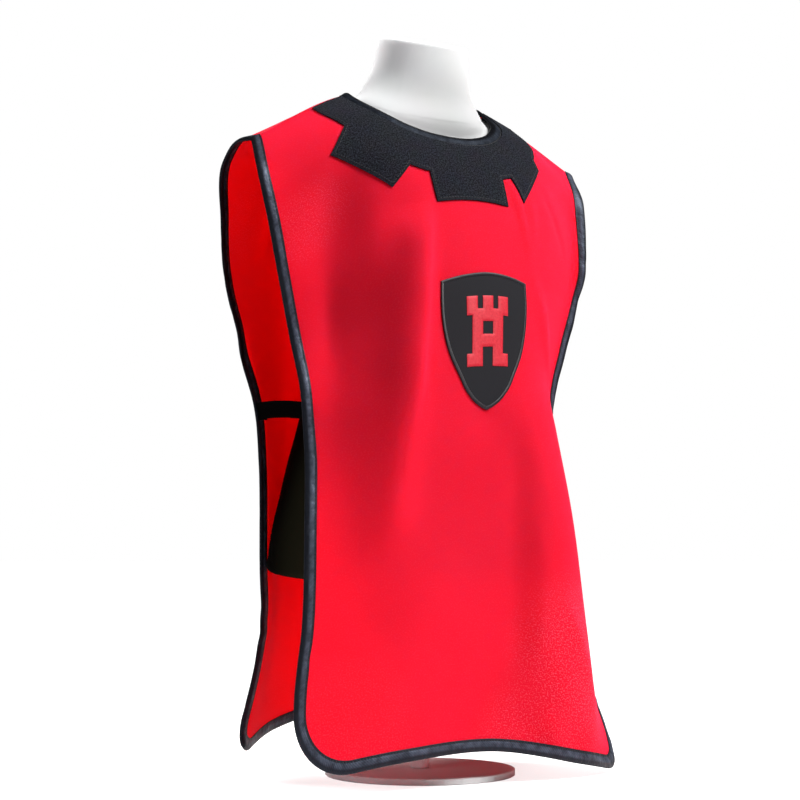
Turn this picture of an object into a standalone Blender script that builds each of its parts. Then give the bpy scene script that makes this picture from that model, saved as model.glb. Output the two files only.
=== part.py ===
import math

import bmesh
import bpy
import numpy as np

# Everything below is written in millimetres; MM turns it into metres when a mesh is made.
# The front of the tabard faces -Y, the wearer's right side is at -X, and the floor is at z = 0.
MM = 0.001

# Cloth, seams and trims
CLOTH_WALL = 1.2
SEAM_GAP = 0.3
TRIM_GAP = 0.62
BINDING_WALL = 1.0
BINDING_WIDTH = 10.5
FELT_WALL = 1.4
PATCH_WALL = 1.1
FRONT_CORNER_RADIUS = 55.0
BACK_CORNER_RADIUS = 40.0
LIFT = 13.0

# Angles of the neck that the panels and their binding share
NECK_ANGLES = np.linspace(-math.pi / 2, math.pi / 2, 19)

# Neck opening, measured on the cloth from the highest point of the shoulder seams
NECK_RIGHT = 85.0
NECK_LEFT = 69.0
FRONT_NECK_DROP = 72.0
BACK_NECK_DROP = 40.0

# Depth of the crenels of the collar, measured from the edge of the neck
COLLAR_CRENEL_DEPTH = 47.0

# Shield patch and its embroidery
SHIELD_TOP = 212.0
SHIELD_MIDDLE = 1.0
SHIELD_HEIGHT = 128.0
SHIELD_TILT_DEGREES = 2.5
SHIELD_CORNER_DROP = 4.0
RIM_INSET = 0.4
RIM_WIDTH = 3.0
RIM_WALL = 0.9
TOWER_DROP = 22.0
TOWER_WALL = 1.0

# Waist straps
STRAP_HEIGHT = 15.5
STRAP_WALL = 1.2
STRAP_LEVEL_FRONT = 325.0
STRAP_LEVEL_BACK = 327.5
STRAP_OVERLAP = 12.0
STRAP_BOW = 1.5
STRAP_ARCH = 1.5

# Stand
POLE_RADIUS = 9.0
BASE_RADIUS = 90.0
BASE_HEIGHT = 6.0
STAND_SIDES = 32
STAND_EDGE = 0.8

# One row for each level of cloth: distance down the cloth, half widths, heights and how far
# the cloth stands out from the plane of the shoulder seams
ROW_NAMES = (
    "down", "half_right", "half_left",
    "z_middle", "z_side_right", "z_side_left", "z_right", "z_left",
    "out_middle", "out_side_right", "out_side_left", "out_right", "out_left",
)
FRONT_ROWS = (
    (0, 191, 193, 641, 621, 616, 573, 573, 0, 0, 0, 0, 0),
    (42, 204, 182, 608, 592, 590, 541, 541, 36, 44, 42, 30, 21),
    (84, 200, 179, 576, 556, 555, 505, 505, 62, 70, 63, 38, 24),
    (151, 189, 175, 514, 497, 497, 455, 455, 87, 72, 80, 39, 24),
    (228, 171, 155, 439, 425, 425, 390, 390, 102, 85, 86, 35, 23),
    (290, 172, 143, 378, 368, 368, 340, 340, 105, 96, 91, 55, 21),
    (346, 171, 149, 322, 315, 315, 294, 293, 107, 103, 103, 58, 20),
    (420, 181, 168, 247, 240, 238, 222, 214, 108, 103, 112, 73, 20),
    (506, 188, 180, 160, 153, 150, 138, 128, 108, 107, 119, 80, 26),
    (580, 199, 185, 85, 80, 72, 68, 55, 109, 108, 127, 84, 38),
    (614, 200, 187, 49, 45, 35, 31, 16, 110, 108, 126, 85, 60),
    (643, 200, 191, 18.5, 14.5, 1, -2, -16, 111, 109, 120, 86, 84),
)
BACK_ROWS = (
    (0, 191, 193, 641, 621, 616, 573, 573, 0, 0, 0, 0, 0),
    (18, 197, 197, 635, 613, 609, 572, 572, 16, 19, 19, 17, 17),
    (44, 200, 198, 624, 594, 592, 555, 555, 40, 46, 46, 35, 35),
    (100, 196, 197, 572, 552, 552, 500, 500, 72, 72, 72, 44, 42),
    (170, 193, 193, 506, 488, 488, 445, 445, 92, 86, 86, 41, 40),
    (250, 176, 179, 427, 412, 412, 380, 380, 102, 90, 90, 38, 38),
    (310, 164, 158, 367, 358, 358, 332, 332, 105, 90, 90, 34, 33),
    (370, 159, 154, 308, 303, 303, 282, 282, 108, 90, 90, 34, 33),
    (470, 153, 158, 208, 201, 198, 183, 179, 113, 97, 97, 39, 38),
    (520, 150, 160, 158, 150, 146, 134, 128, 116, 100, 100, 42, 42),
    (640, 174, 172, 40, 27, 22, 6, 2, 122, 112, 108, 52, 54),
)

# One row for each soft fold: where it starts and ends on the cloth, its half breadth at both
# ends and how far it stands out there (below zero for a trough)
FOLD_NAMES = (
    "across_top", "down_top", "across_end", "down_end",
    "breadth_top", "breadth_end", "out_top", "out_end",
)
FRONT_FOLDS = (
    (-140, 65, -156, 374, 34, 31, -11, -6),
    (-71, 137, -120, 487, 17, 27, 13, 8),
    (-130, 290, -132, 576, 24, 25, 7, -4),
    (-89, 162, -100, 369, 18, 20, 3, 3),
    (32, 350, 26, 600, 15, 18, -4, -4),
    (64, 190, 130, 330, 14, 22, 4, 6),
    (92, 84, 150, 160, 14, 18, -5, -4),
    (70, 490, 140, 620, 14, 16, 3, 4),
    (58, 585, 104, 660, 14, 18, -4, -5),
    (212, 0, 202, 200, 16, 16, 4, 4),
    (209, 155, 178, 335, 18, 18, 2, 2),
)
BACK_FOLDS = (
    (-70, 120, -90, 420, 18, 26, -7, -6),
    (60, 110, 84, 400, 18, 26, -8, -6),
    (-16, 200, 10, 640, 22, 32, 4, 5),
    (-110, 380, -120, 640, 20, 26, 5, 7),
    (112, 360, 122, 640, 20, 26, 5, 7),
    (-52, 430, -62, 640, 16, 20, -5, -6),
    (58, 420, 66, 640, 16, 20, -5, -5),
)

# One row for each merlon of the collar: where it points in degrees round the neck, how far its
# corners are to the right and left of that line at the crenels and at its end, and how deep its
# two outer corners are
MERLON_NAMES = ("degrees", "band_right", "band_left", "end_right", "end_left", "deep_right", "deep_left")
MERLONS = (
    (-52.5, -37, 41, -38, 41, 75, 68),
    (0.0, -47, 40, -42, 39, 70, 69),
    (45.0, -38, 27, -48, 22, 64, 54),
)

# Shield outline: distance below its top edge and half width
SHIELD_ROWS = (
    (0.00, 50.0),
    (0.20, 50.8),
    (0.40, 48.5),
    (0.58, 42.5),
    (0.74, 32.5),
    (0.87, 23.0),
    (0.96, 11.0),
    (1.00, 1.6),
)

# Tower on the shield: one letter for each cell, X where the embroidery stands
TOWER_CELL = 6.0
TOWER_PLAN = (
    "XX.XX.XX",
    "XX.XX.XX",
    "XXXXXXXX",
    ".XXXXXX.",
    ".XX..XX.",
    ".XX..XX.",
    ".XXXXXX.",
    ".XXXXXX.",
    ".XX..XX.",
    "XXX..XXX",
    "XXX..XXX",
)

# Dress form: one row for each level, with how much it slopes towards the front
FORM_NAMES = ("height", "right", "left", "half_deep", "middle", "tilt")
NECK_ROWS = (
    (681.8, 43.4, 44.2, 40.2, -5.7, 0.22),
    (672.3, 45.3, 45.3, 41.0, -4.1, 0.20),
    (660.5, 47.5, 46.5, 41.0, -3.0, 0.25),
    (648.0, 51.8, 48.8, 41.0, -2.6, 0.30),
    (635.0, 61.1, 54.1, 42.0, -3.7, 0.35),
    (624.0, 75.3, 62.8, 45.0, -8.9, 0.40),
)
YOKE_LEVELS = (
    (621.5, 0.40), (617.0, 0.38), (611.5, 0.35), (605.0, 0.30), (597.5, 0.22), (588.5, 0.12), (578.0, 0.0),
)
YOKE_DEPTH_TOP = 45.3
YOKE_DEPTH_END = 60.0
SHOULDER_END = 150.0
TORSO_ROWS = (
    (562, 150, 150, 66, -1, 0),
    (540, 147, 147, 73, -2, 0),
    (505, 136, 136, 79, -4, 0),
    (455, 124, 124, 84, -5, 0),
    (400, 119, 117, 85, -4, 0),
    (345, 122, 118, 86, -2, 0),
    (315, 128, 125, 89, -1, 0),
    (280, 138.5, 136, 94, 0, 0),
    (245, 148, 146, 98, 0, 0),
    (215, 156, 153.5, 102, 0, 0.05),
    (182.5, 160.5, 158, 105, 0, 0.09),
)
FORM_SIDES = 40
NECK_EDGE_RADIUS = 3.5
TORSO_EDGE_RADIUS = 6.0

# Room left under the cloth: on the shoulders, and under the thicker bindings at the neck
ROOM_ON_SHOULDER = 2.2
ROOM_AT_NECK = 4.5
ROOM_ON_SEAM = 1.6
ROOM_AT_SEAM_END = 5.8
ROOM_EASE = 6.0
FREE_INSIDE_NECK = 20.0
ROOM_HEIGHTS = np.arange(150.0, 731.0, 2.5)
ROOM_ACROSS = np.arange(-210.0, 211.0, 2.0)


def clear_scene():
    """Start from an empty scene."""
    for item in list(bpy.data.objects):
        bpy.data.objects.remove(item, do_unlink=True)


def linear(hex_colour):
    """Linear colour of an sRGB hex colour."""
    parts = [int(hex_colour[k:k + 2], 16) / 255.0 for k in (0, 2, 4)]
    return [p / 12.92 if p <= 0.04045 else ((p + 0.055) / 1.055) ** 2.4 for p in parts] + [1.0]


def surface(name, hex_colour, roughness, sheen=0.0):
    """A plain material in one colour."""
    made = bpy.data.materials.new(name)
    made.use_nodes = True
    shader = made.node_tree.nodes["Principled BSDF"]
    shader.inputs["Base Color"].default_value = linear(hex_colour)
    shader.inputs["Roughness"].default_value = roughness
    shader.inputs["Sheen Weight"].default_value = sheen
    made.diffuse_color = linear(hex_colour)
    return made


def smooth_curve(knots, values, at):
    """Points at the given places on a smooth curve through values at the knots."""
    at = np.clip(at, knots[0], knots[-1])
    slopes = np.gradient(values, knots, axis=0)
    k = np.clip(np.searchsorted(knots, at, side="right") - 1, 0, len(knots) - 2)
    step = knots[k + 1] - knots[k]
    f = (at - knots[k]) / step
    if values.ndim == 2:
        step = step[:, None]
        f = f[:, None]
    first = values[k] * (2 * f**3 - 3 * f**2 + 1) + slopes[k] * step * (f**3 - 2 * f**2 + f)
    return first + values[k + 1] * (3 * f**2 - 2 * f**3) + slopes[k + 1] * step * (f**3 - f**2)


def row_curve(row):
    """A level of the cloth as evenly spaced points, with its right and left lengths."""
    r = dict(zip(ROW_NAMES, row))
    stations = np.array([-1.0, -0.5, 0.0, 0.5, 1.0])
    points = np.array([
        (-r["half_right"], r["out_right"], r["z_right"]),
        (-0.52 * r["half_right"], r["out_side_right"], r["z_side_right"]),
        (0.0, r["out_middle"], r["z_middle"]),
        (0.52 * r["half_left"], r["out_side_left"], r["z_side_left"]),
        (r["half_left"], r["out_left"], r["z_left"]),
    ], float)
    curve = smooth_curve(stations, points, np.linspace(-1, 1, 401))
    steps = np.linalg.norm(np.diff(curve, axis=0), axis=1)
    length = np.concatenate([[0.0], np.cumsum(steps)])
    right = length[200]
    left = length[-1] - right
    place = np.where(length < right, (length - right) / right, (length - right) / left)
    even = np.linspace(-1, 1, 401)
    return np.stack([np.interp(even, place, curve[:, k]) for k in range(3)], -1), right, left


def make_drape(rows, folds, way, corner):
    """Everything needed to find a point of one hanging panel from its place on the cloth."""
    down = np.array([row[0] for row in rows], float)
    made = [row_curve(row) for row in rows]
    curves = np.array([m[0] for m in made])
    levels = np.linspace(0, down[-1], 321)
    return {
        "way": way,
        "down": down,
        "length": down[-1],
        "corner": corner,
        "curves": curves,
        "slopes": np.gradient(curves, down, axis=0),
        "levels": levels,
        "right": smooth_curve(down, np.array([m[1] for m in made]), levels),
        "left": smooth_curve(down, np.array([m[2] for m in made]), levels),
        "folds": [dict(zip(FOLD_NAMES, fold)) for fold in folds],
    }


def half_width(drape, down, across):
    """Length of cloth from the middle line to the edge, on the side that across is on."""
    right = np.interp(down, drape["levels"], drape["right"])
    left = np.interp(down, drape["levels"], drape["left"])
    return np.where(np.asarray(across) < 0, right, left)


def fold_height(drape, across, down):
    """How far the folds push the cloth out at each place."""
    total = np.zeros(len(across))
    for f in drape["folds"]:
        along = np.clip((down - f["down_top"]) / (f["down_end"] - f["down_top"]), 0, 1)
        middle = f["across_top"] + (f["across_end"] - f["across_top"]) * along
        breadth = f["breadth_top"] + (f["breadth_end"] - f["breadth_top"]) * along
        height = f["out_top"] + (f["out_end"] - f["out_top"]) * along
        start = np.clip((down - f["down_top"]) / 45.0, 0, 1)
        finish = np.clip((f["down_end"] - down) / 70.0, 0, 1)
        ease = start * finish
        ease = ease * ease * (3 - 2 * ease)
        total += height * ease * np.exp(-((across - middle) / breadth) ** 2)
    return total


def cloth_point(drape, across, down):
    """Points on the outer face, in millimetres above the floor."""
    across, down = np.broadcast_arrays(np.asarray(across, float), np.asarray(down, float))
    shape = across.shape
    across = across.ravel()
    down = np.clip(down.ravel(), 0, drape["length"])
    place = (np.clip(across / half_width(drape, down, across), -1, 1) + 1) * 200
    i = np.clip(place.astype(int), 0, 399)
    part = (place - i)[:, None]
    curves = drape["curves"][:, i] * (1 - part) + drape["curves"][:, i + 1] * part
    slopes = drape["slopes"][:, i] * (1 - part) + drape["slopes"][:, i + 1] * part
    rows = drape["down"]
    k = np.clip(np.searchsorted(rows, down, side="right") - 1, 0, len(rows) - 2)
    step = (rows[k + 1] - rows[k])[:, None]
    f = (down - rows[k])[:, None] / step
    n = np.arange(len(across))
    points = curves[k, n] * (2 * f**3 - 3 * f**2 + 1) + slopes[k, n] * step * (f**3 - 2 * f**2 + f)
    points += curves[k + 1, n] * (3 * f**2 - 2 * f**3) + slopes[k + 1, n] * step * (f**3 - f**2)
    points[:, 1] = np.maximum(points[:, 1] + fold_height(drape, across, down), SEAM_GAP / 2)
    points[:, 1] *= drape["way"]
    points[:, 2] += LIFT
    return points.reshape(shape + (3,))


def cloth_normal(drape, across, down):
    """Outward directions; along the shoulder seam they lie in the plane of the seam."""
    across, down = np.broadcast_arrays(np.asarray(across, float), np.asarray(down, float))
    half = half_width(drape, down, across)
    low = np.clip(across - 1.5, -half, half)
    high = np.clip(across + 1.5, -half, half)
    over = cloth_point(drape, high, down) - cloth_point(drape, low, down)
    below = cloth_point(drape, across, down + 1.5) - cloth_point(drape, across, down - 1.5)
    normal = np.cross(over, below) * drape["way"]
    normal /= np.linalg.norm(normal, axis=-1, keepdims=True)
    seam = down < 0.01
    normal[seam, 1] = 0.0
    normal[seam] /= np.linalg.norm(normal[seam], axis=-1, keepdims=True)
    return normal


def at_height(drape, across, down, height):
    """Points a given height above the outer face of the cloth."""
    height = np.asarray(height, float)[..., None]
    return cloth_point(drape, across, down) + cloth_normal(drape, across, down) * height


def finish(name, mesh_parts, made_of, crease_degrees=50.0):
    """A smooth object from vertices and faces, with its faces pointing outwards."""
    vertices, faces = mesh_parts
    mesh = bpy.data.meshes.new(name)
    mesh.from_pydata((np.asarray(vertices) * MM).tolist(), [], faces)
    shape = bmesh.new()
    shape.from_mesh(mesh)
    bmesh.ops.remove_doubles(shape, verts=shape.verts, dist=1e-6)
    bmesh.ops.recalc_face_normals(shape, faces=shape.faces)
    bmesh.ops.triangulate(shape, faces=[f for f in shape.faces if len(f.verts) > 3])
    shape.to_mesh(mesh)
    shape.free()
    mesh.shade_smooth()
    mesh.set_sharp_from_angle(angle=math.radians(crease_degrees))
    mesh.materials.append(made_of)
    item = bpy.data.objects.new(name, mesh)
    bpy.context.scene.collection.objects.link(item)
    return item


def layer(outer, inner, cells=None):
    """A closed sheet between two grids of points; cells says which squares of it are there."""
    rows, columns = outer.shape[:2]
    if cells is None:
        cells = np.ones((rows - 1, columns - 1), bool)
    count = rows * columns
    faces = []
    borders = {}
    for r in range(rows - 1):
        for c in range(columns - 1):
            if not cells[r, c]:
                continue
            first = r * columns + c
            corners = [first, first + 1, first + columns + 1, first + columns]
            for a, b, d in ((0, 1, 2), (0, 2, 3)):
                faces.append((corners[a], corners[b], corners[d]))
                faces.append((corners[d] + count, corners[b] + count, corners[a] + count))
            for a, b in zip(corners, corners[1:] + corners[:1]):
                if (b, a) in borders:
                    del borders[(b, a)]
                else:
                    borders[(a, b)] = True
    for a, b in borders:
        faces.append((b, a, a + count))
        faces.append((b, a + count, b + count))
    points = np.concatenate([outer.reshape(-1, 3), inner.reshape(-1, 3)])
    used = sorted({v for face in faces for v in face})
    place = {v: k for k, v in enumerate(used)}
    return points[used], [tuple(place[v] for v in face) for face in faces]


def ring_of_sections(sections):
    """A closed tube through the sections, the last joined to the first."""
    count, around = sections.shape[:2]
    faces = []
    for r in range(count):
        for c in range(around):
            a = r * around + c
            b = r * around + (c + 1) % around
            d = ((r + 1) % count) * around + c
            e = ((r + 1) % count) * around + (c + 1) % around
            faces.append((a, b, e))
            faces.append((a, e, d))
    return sections.reshape(-1, 3), faces


def stack_of_sections(sections):
    """A closed body through the sections, with a flat face at each end."""
    count, around = sections.shape[:2]
    faces = [tuple(range(around)), tuple((count - 1) * around + c for c in reversed(range(around)))]
    for r in range(count - 1):
        for c in range(around):
            a = r * around + c
            b = r * around + (c + 1) % around
            faces.append((a, b, b + around, a + around))
    return sections.reshape(-1, 3), faces


def neck_line(angle, drop):
    """Edge of the neck on the cloth, with the direction that leads away from the neck."""
    half = np.where(angle < 0, NECK_RIGHT, NECK_LEFT)
    across = half * np.sin(angle)
    down = drop * np.cos(angle)
    lean = np.stack([np.sin(angle) / half, np.cos(angle) / drop], -1)
    lean /= np.linalg.norm(lean, axis=-1, keepdims=True)
    down = np.where(np.abs(np.abs(angle) - math.pi / 2) < 1e-6, 0.0, down)
    lean[..., 1] = np.where(down == 0.0, 0.0, lean[..., 1])
    return across, down, lean


def round_corners(drape, across, down):
    """Turn the square lower corners of the cloth into round ones."""
    radius = drape["corner"]
    side = np.where(across < 0, -1.0, 1.0)
    half = half_width(drape, down, across)
    a = (np.abs(across) - (half - radius)) / radius
    b = (down - (drape["length"] - radius)) / radius
    inside = (a > 0) & (b > 0)
    big = np.where(inside, np.maximum(a, b), 1.0)
    turn = math.pi / 4 * np.where(inside, np.minimum(a, b) / big, 0.0)
    turn = np.where(b > a, math.pi / 2 - turn, turn)
    across = np.where(inside, side * (half - radius + radius * big * np.cos(turn)), across)
    down = np.where(inside, drape["length"] - radius + radius * big * np.sin(turn), down)
    return across, down


def panel_grid(drape, drop):
    """Places on the cloth of every point of a panel, row by row from the top."""
    neck_across, neck_down, _ = neck_line(NECK_ANGLES, drop)
    spread = np.array([0.1, 0.24, 0.4, 0.58, 0.78, 1.0])
    top_right = half_width(drape, 0.0, -1.0) - BINDING_WIDTH
    top_left = half_width(drape, 0.0, 1.0) - BINDING_WIDTH
    right = -(NECK_RIGHT + (top_right - NECK_RIGHT) * spread)[::-1]
    left = NECK_LEFT + (top_left - NECK_LEFT) * spread
    across_top = np.concatenate([right, neck_across, left])
    down_top = np.concatenate([right * 0, neck_down, left * 0])
    even = np.linspace(-1, 1, len(across_top))
    reach = drape["length"] - drape["corner"]
    upper = np.linspace(0, 0.14, 10)
    middle = np.linspace(0.14, 1, 17)[1:]
    rows = []
    for part in np.concatenate([upper, middle]):
        down = down_top + (reach - down_top) * part
        blend = min(part / 0.3, 1.0)
        blend = blend * blend * (3 - 2 * blend)
        inner = half_width(drape, down, even) - BINDING_WIDTH
        across = across_top * (1 - blend) + even * inner * blend
        across[0] = -inner[0]
        across[-1] = inner[-1]
        rows.append((across, down))
    last = drape["corner"] - BINDING_WIDTH
    for below in (last * 0.36, last * 0.7, last, drape["corner"]):
        down = np.full(len(even), reach + below)
        rows.append((even * (half_width(drape, down, even) - BINDING_WIDTH), down))
    across = np.array([r[0] for r in rows])
    down = np.array([r[1] for r in rows])
    edge_right = -half_width(drape, down[:, :1], -1.0)
    edge_left = half_width(drape, down[:, -1:], 1.0)
    across = np.concatenate([edge_right, across, edge_left], axis=1)
    down = np.concatenate([down[:, :1], down, down[:, -1:]], axis=1)
    return round_corners(drape, across, down)


def make_panel(name, drape, drop, made_of):
    """Front or back of the tabard, cut in one with its shoulders."""
    across, down = panel_grid(drape, drop)
    outer = at_height(drape, across, down, np.zeros(across.shape))
    inner = at_height(drape, across, down, np.full(across.shape, -CLOTH_WALL))
    return finish(name, layer(outer, inner), made_of)


def edge_path(drape, drop):
    """Places of the outer edge from the right shoulder down, along the hem and up again."""
    across, down = panel_grid(drape, drop)
    edge = [(across[r, 0], down[r, 0]) for r in range(len(across))]
    edge += [(across[-1, c], down[-1, c]) for c in range(1, across.shape[1])]
    edge += [(across[r, -1], down[r, -1]) for r in reversed(range(len(across) - 1))]
    return np.array(edge)


def inward_places(drape, edge, distance):
    """Places a given distance in from the outer edge."""
    across, down = edge[:, 0], edge[:, 1]
    radius = drape["corner"]
    side = np.where(across < 0, -1.0, 1.0)
    half = half_width(drape, down, across)
    middle = np.stack([side * (half - radius), np.full(len(edge), drape["length"] - radius)], -1)
    middle[:, 1] = np.minimum(middle[:, 1], down)
    middle[:, 0] = np.where(np.abs(across) < half - radius, across, middle[:, 0])
    away = middle - edge
    away /= np.linalg.norm(away, axis=1, keepdims=True)
    return edge + away * distance


def binding_sections(drape, edge, inner, gap):
    """Folded strip of binding: one section over the edge of the cloth at every place."""
    at_edge = cloth_point(drape, edge[:, 0], edge[:, 1])
    lift_edge = cloth_normal(drape, edge[:, 0], edge[:, 1])
    at_inner = cloth_point(drape, inner[:, 0], inner[:, 1])
    lift_inner = cloth_normal(drape, inner[:, 0], inner[:, 1])
    out = at_edge - at_inner
    out /= np.linalg.norm(out, axis=1, keepdims=True)
    top = gap + BINDING_WALL
    low = -CLOTH_WALL - gap
    shape = (
        (True, 0.0, top), (False, 0.3, top), (False, top, -CLOTH_WALL / 2),
        (False, 0.3, low - BINDING_WALL), (True, 0.0, low - BINDING_WALL), (True, 0.0, low),
        (False, gap, low), (False, gap, gap), (True, 0.0, gap),
    )
    columns = []
    for at_leaf, beyond, height in shape:
        if at_leaf:
            columns.append(at_inner + lift_inner * height)
        else:
            columns.append(at_edge + out * beyond + lift_edge * height)
    return np.stack(columns, axis=1)


def make_edge_binding(front, back, made_of):
    """One strip round the whole outer edge, over both shoulder seams."""
    both = []
    for drape, drop in ((front, FRONT_NECK_DROP), (back, BACK_NECK_DROP)):
        edge = edge_path(drape, drop)
        inner = inward_places(drape, edge, BINDING_WIDTH)
        both.append(binding_sections(drape, edge, inner, TRIM_GAP))
    over_front, over_back = both
    for end in (0, -1):
        over_front[end, :, 1] = 0.0
    sections = np.concatenate([over_front, over_back[1:-1][::-1]])
    return finish("edge_binding", ring_of_sections(sections), made_of)


def make_neck_binding(front, back, made_of):
    """One strip round the neck, over both shoulder seams."""
    both = []
    for drape, drop in ((front, FRONT_NECK_DROP), (back, BACK_NECK_DROP)):
        across, down, lean = neck_line(NECK_ANGLES, drop)
        edge = np.stack([across, down], -1)
        both.append(binding_sections(drape, edge, edge + lean * BINDING_WIDTH, TRIM_GAP))
    over_front, over_back = both
    for end in (0, -1):
        over_front[end, :, 1] = 0.0
    sections = np.concatenate([over_front, over_back[1:-1][::-1]])
    return finish("neck_binding", ring_of_sections(sections), made_of)


def merlon_frame(degrees):
    """Middle of a merlon at the neck's edge, the way outwards from there and the way across."""
    across, down, lean = neck_line(np.array([math.radians(degrees)]), FRONT_NECK_DROP)
    return np.array([across[0], down[0]]), lean[0], np.array([lean[0, 1], -lean[0, 0]])


def collar_columns():
    """Angles round the neck of every column of the collar, and the merlon each is in."""
    fine = np.radians(np.linspace(-90, 90, 721))
    across, down, lean = neck_line(fine, FRONT_NECK_DROP)
    curve = np.stack([across, down], -1) + lean * COLLAR_CRENEL_DEPTH
    columns = []
    for number, row in enumerate(MERLONS):
        m = dict(zip(MERLON_NAMES, row))
        start, _, sideways = merlon_frame(m["degrees"])
        offset = (curve - start) @ sideways
        near = np.abs(fine - math.radians(m["degrees"])) < math.radians(45)
        for part in np.linspace(0, 1, 8):
            place = m["band_right"] + (m["band_left"] - m["band_right"]) * part
            columns.append((float(np.interp(place, offset[near], fine[near])), number, float(part)))
    first = np.linspace(-math.pi / 2, columns[0][0], 4)[:-1]
    last = np.linspace(columns[-1][0], math.pi / 2, 6)[1:]
    gap_one = (columns[7][0] + columns[8][0]) / 2
    gap_two = (columns[15][0] + columns[16][0]) / 2
    plain = [(float(a), None, 0.0) for a in (*first, gap_one, gap_two, *last)]
    return sorted(columns + plain, key=lambda column: column[0])


def make_collar(front, made_of):
    """Felt collar with three merlons, lying on the front below the neck binding."""
    columns = collar_columns()
    depths = np.linspace(BINDING_WIDTH + SEAM_GAP, COLLAR_CRENEL_DEPTH, 5)
    crenel = len(depths) - 1
    places = np.zeros((len(depths) + 3, len(columns), 2))
    for c, (angle, number, part_across) in enumerate(columns):
        across, down, lean = neck_line(np.array([angle]), FRONT_NECK_DROP)
        for r, depth in enumerate(depths):
            places[r, c] = np.array([across[0], down[0]]) + lean[0] * depth
        places[crenel + 1:, c] = places[crenel, c]
        if number is None:
            continue
        m = dict(zip(MERLON_NAMES, MERLONS[number]))
        start, lean, sideways = merlon_frame(m["degrees"])
        end_across = m["end_right"] + (m["end_left"] - m["end_right"]) * part_across
        end_deep = m["deep_right"] + (m["deep_left"] - m["deep_right"]) * part_across
        end = start + lean * end_deep + sideways * end_across
        for step in (1, 2, 3):
            places[crenel + step, c] += (end - places[crenel, c]) * step / 3
    inside = [number for _, number, _ in columns]
    cells = np.ones((len(places) - 1, len(columns) - 1), bool)
    for c in range(len(columns) - 1):
        cells[crenel:, c] = inside[c] is not None and inside[c] == inside[c + 1]
    across, down = places[..., 0], places[..., 1]
    outer = at_height(front, across, down, np.full(across.shape, TRIM_GAP + FELT_WALL))
    inner = at_height(front, across, down, np.full(across.shape, TRIM_GAP))
    return finish("collar", layer(outer, inner, cells), made_of)


def shield_places(x, y):
    """Places on the cloth of points of the shield, which hangs slightly turned."""
    turn = math.radians(SHIELD_TILT_DEGREES)
    across = SHIELD_MIDDLE + x * math.cos(turn) - y * math.sin(turn)
    down = SHIELD_TOP - x * math.sin(turn) + y * math.cos(turn)
    return across, down


def shield_half(part):
    """Half width of the shield at a part of its height."""
    rows = np.array(SHIELD_ROWS)
    return smooth_curve(rows[:, 0], rows[:, 1], np.atleast_1d(part))


def make_shield(front, made_of):
    """Shield-shaped patch sewn on the chest."""
    parts = np.array([0, 0.1, 0.2, 0.3, 0.4, 0.5, 0.6, 0.69, 0.77, 0.84, 0.9, 0.95, 0.98, 1.0])
    even = np.linspace(-1, 1, 11)
    half = shield_half(parts)
    x = half[:, None] * even[None, :]
    y = parts[:, None] * SHIELD_HEIGHT
    y = y + SHIELD_CORNER_DROP * np.abs(even)[None, :] * (1 - parts[:, None]) ** 4
    across, down = shield_places(x, y)
    outer = at_height(front, across, down, np.full(x.shape, TRIM_GAP + PATCH_WALL))
    inner = at_height(front, across, down, np.full(x.shape, TRIM_GAP))
    return finish("shield_patch", layer(outer, inner), made_of)


def make_shield_rim(front, made_of):
    """Raised stitched border just inside the outline of the shield."""
    parts = np.array([0.0, 0.1, 0.2, 0.3, 0.4, 0.5, 0.6, 0.69, 0.77, 0.84, 0.9, 0.95])
    half = shield_half(parts)
    right = [(-h, p * SHIELD_HEIGHT + SHIELD_CORNER_DROP * (1 - p) ** 4) for h, p in zip(half, parts)]
    left = [(-x, y) for x, y in right]
    top = [(half[0] * k, SHIELD_CORNER_DROP * abs(k)) for k in (-0.6, -0.2, 0.2, 0.6)]
    tip = SHIELD_ROWS[-1][1]
    outline = np.array(right[::-1] + top + left + [(tip, SHIELD_HEIGHT), (-tip, SHIELD_HEIGHT)])
    after = np.roll(outline, -1, axis=0) - outline
    before = outline - np.roll(outline, 1, axis=0)
    after /= np.linalg.norm(after, axis=1, keepdims=True)
    before /= np.linalg.norm(before, axis=1, keepdims=True)
    mean = after + before
    mean /= np.linalg.norm(mean, axis=1, keepdims=True)
    inward = np.stack([-mean[:, 1], mean[:, 0]], -1)
    reach = 1.0 / np.maximum(np.sum(mean * after, axis=1), 0.55)
    low = TRIM_GAP + PATCH_WALL + SEAM_GAP
    sections = []
    near = RIM_INSET
    far = RIM_INSET + RIM_WIDTH
    for distance, height in ((near, low), (near, low + RIM_WALL), (far, low + RIM_WALL), (far, low)):
        line = outline + inward * (reach * distance)[:, None]
        across, down = shield_places(line[:, 0], line[:, 1])
        sections.append(at_height(front, across, down, np.full(len(line), height)))
    return finish("shield_rim", ring_of_sections(np.stack(sections, axis=1)), made_of)


def make_tower(front, made_of):
    """Embroidered tower standing in the middle of the shield."""
    cells = np.array([[letter == "X" for letter in line] for line in TOWER_PLAN])
    rows, columns = cells.shape
    x = (np.arange(columns + 1) - columns / 2) * TOWER_CELL
    y = TOWER_DROP + np.arange(rows + 1) * TOWER_CELL
    x, y = np.meshgrid(x, y)
    across, down = shield_places(x, y)
    low = TRIM_GAP + PATCH_WALL + SEAM_GAP
    outer = at_height(front, across, down, np.full(x.shape, low + TOWER_WALL))
    inner = at_height(front, across, down, np.full(x.shape, low))
    return finish("shield_tower", layer(outer, inner, cells), made_of)


def level_on_edge(drape, side, height):
    """How far down the cloth its edge comes to a given height."""
    down = np.linspace(150, 500, 701)
    z = cloth_point(drape, side * half_width(drape, down, side), down)[:, 2]
    return float(np.interp(-height, -z, down))


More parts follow.
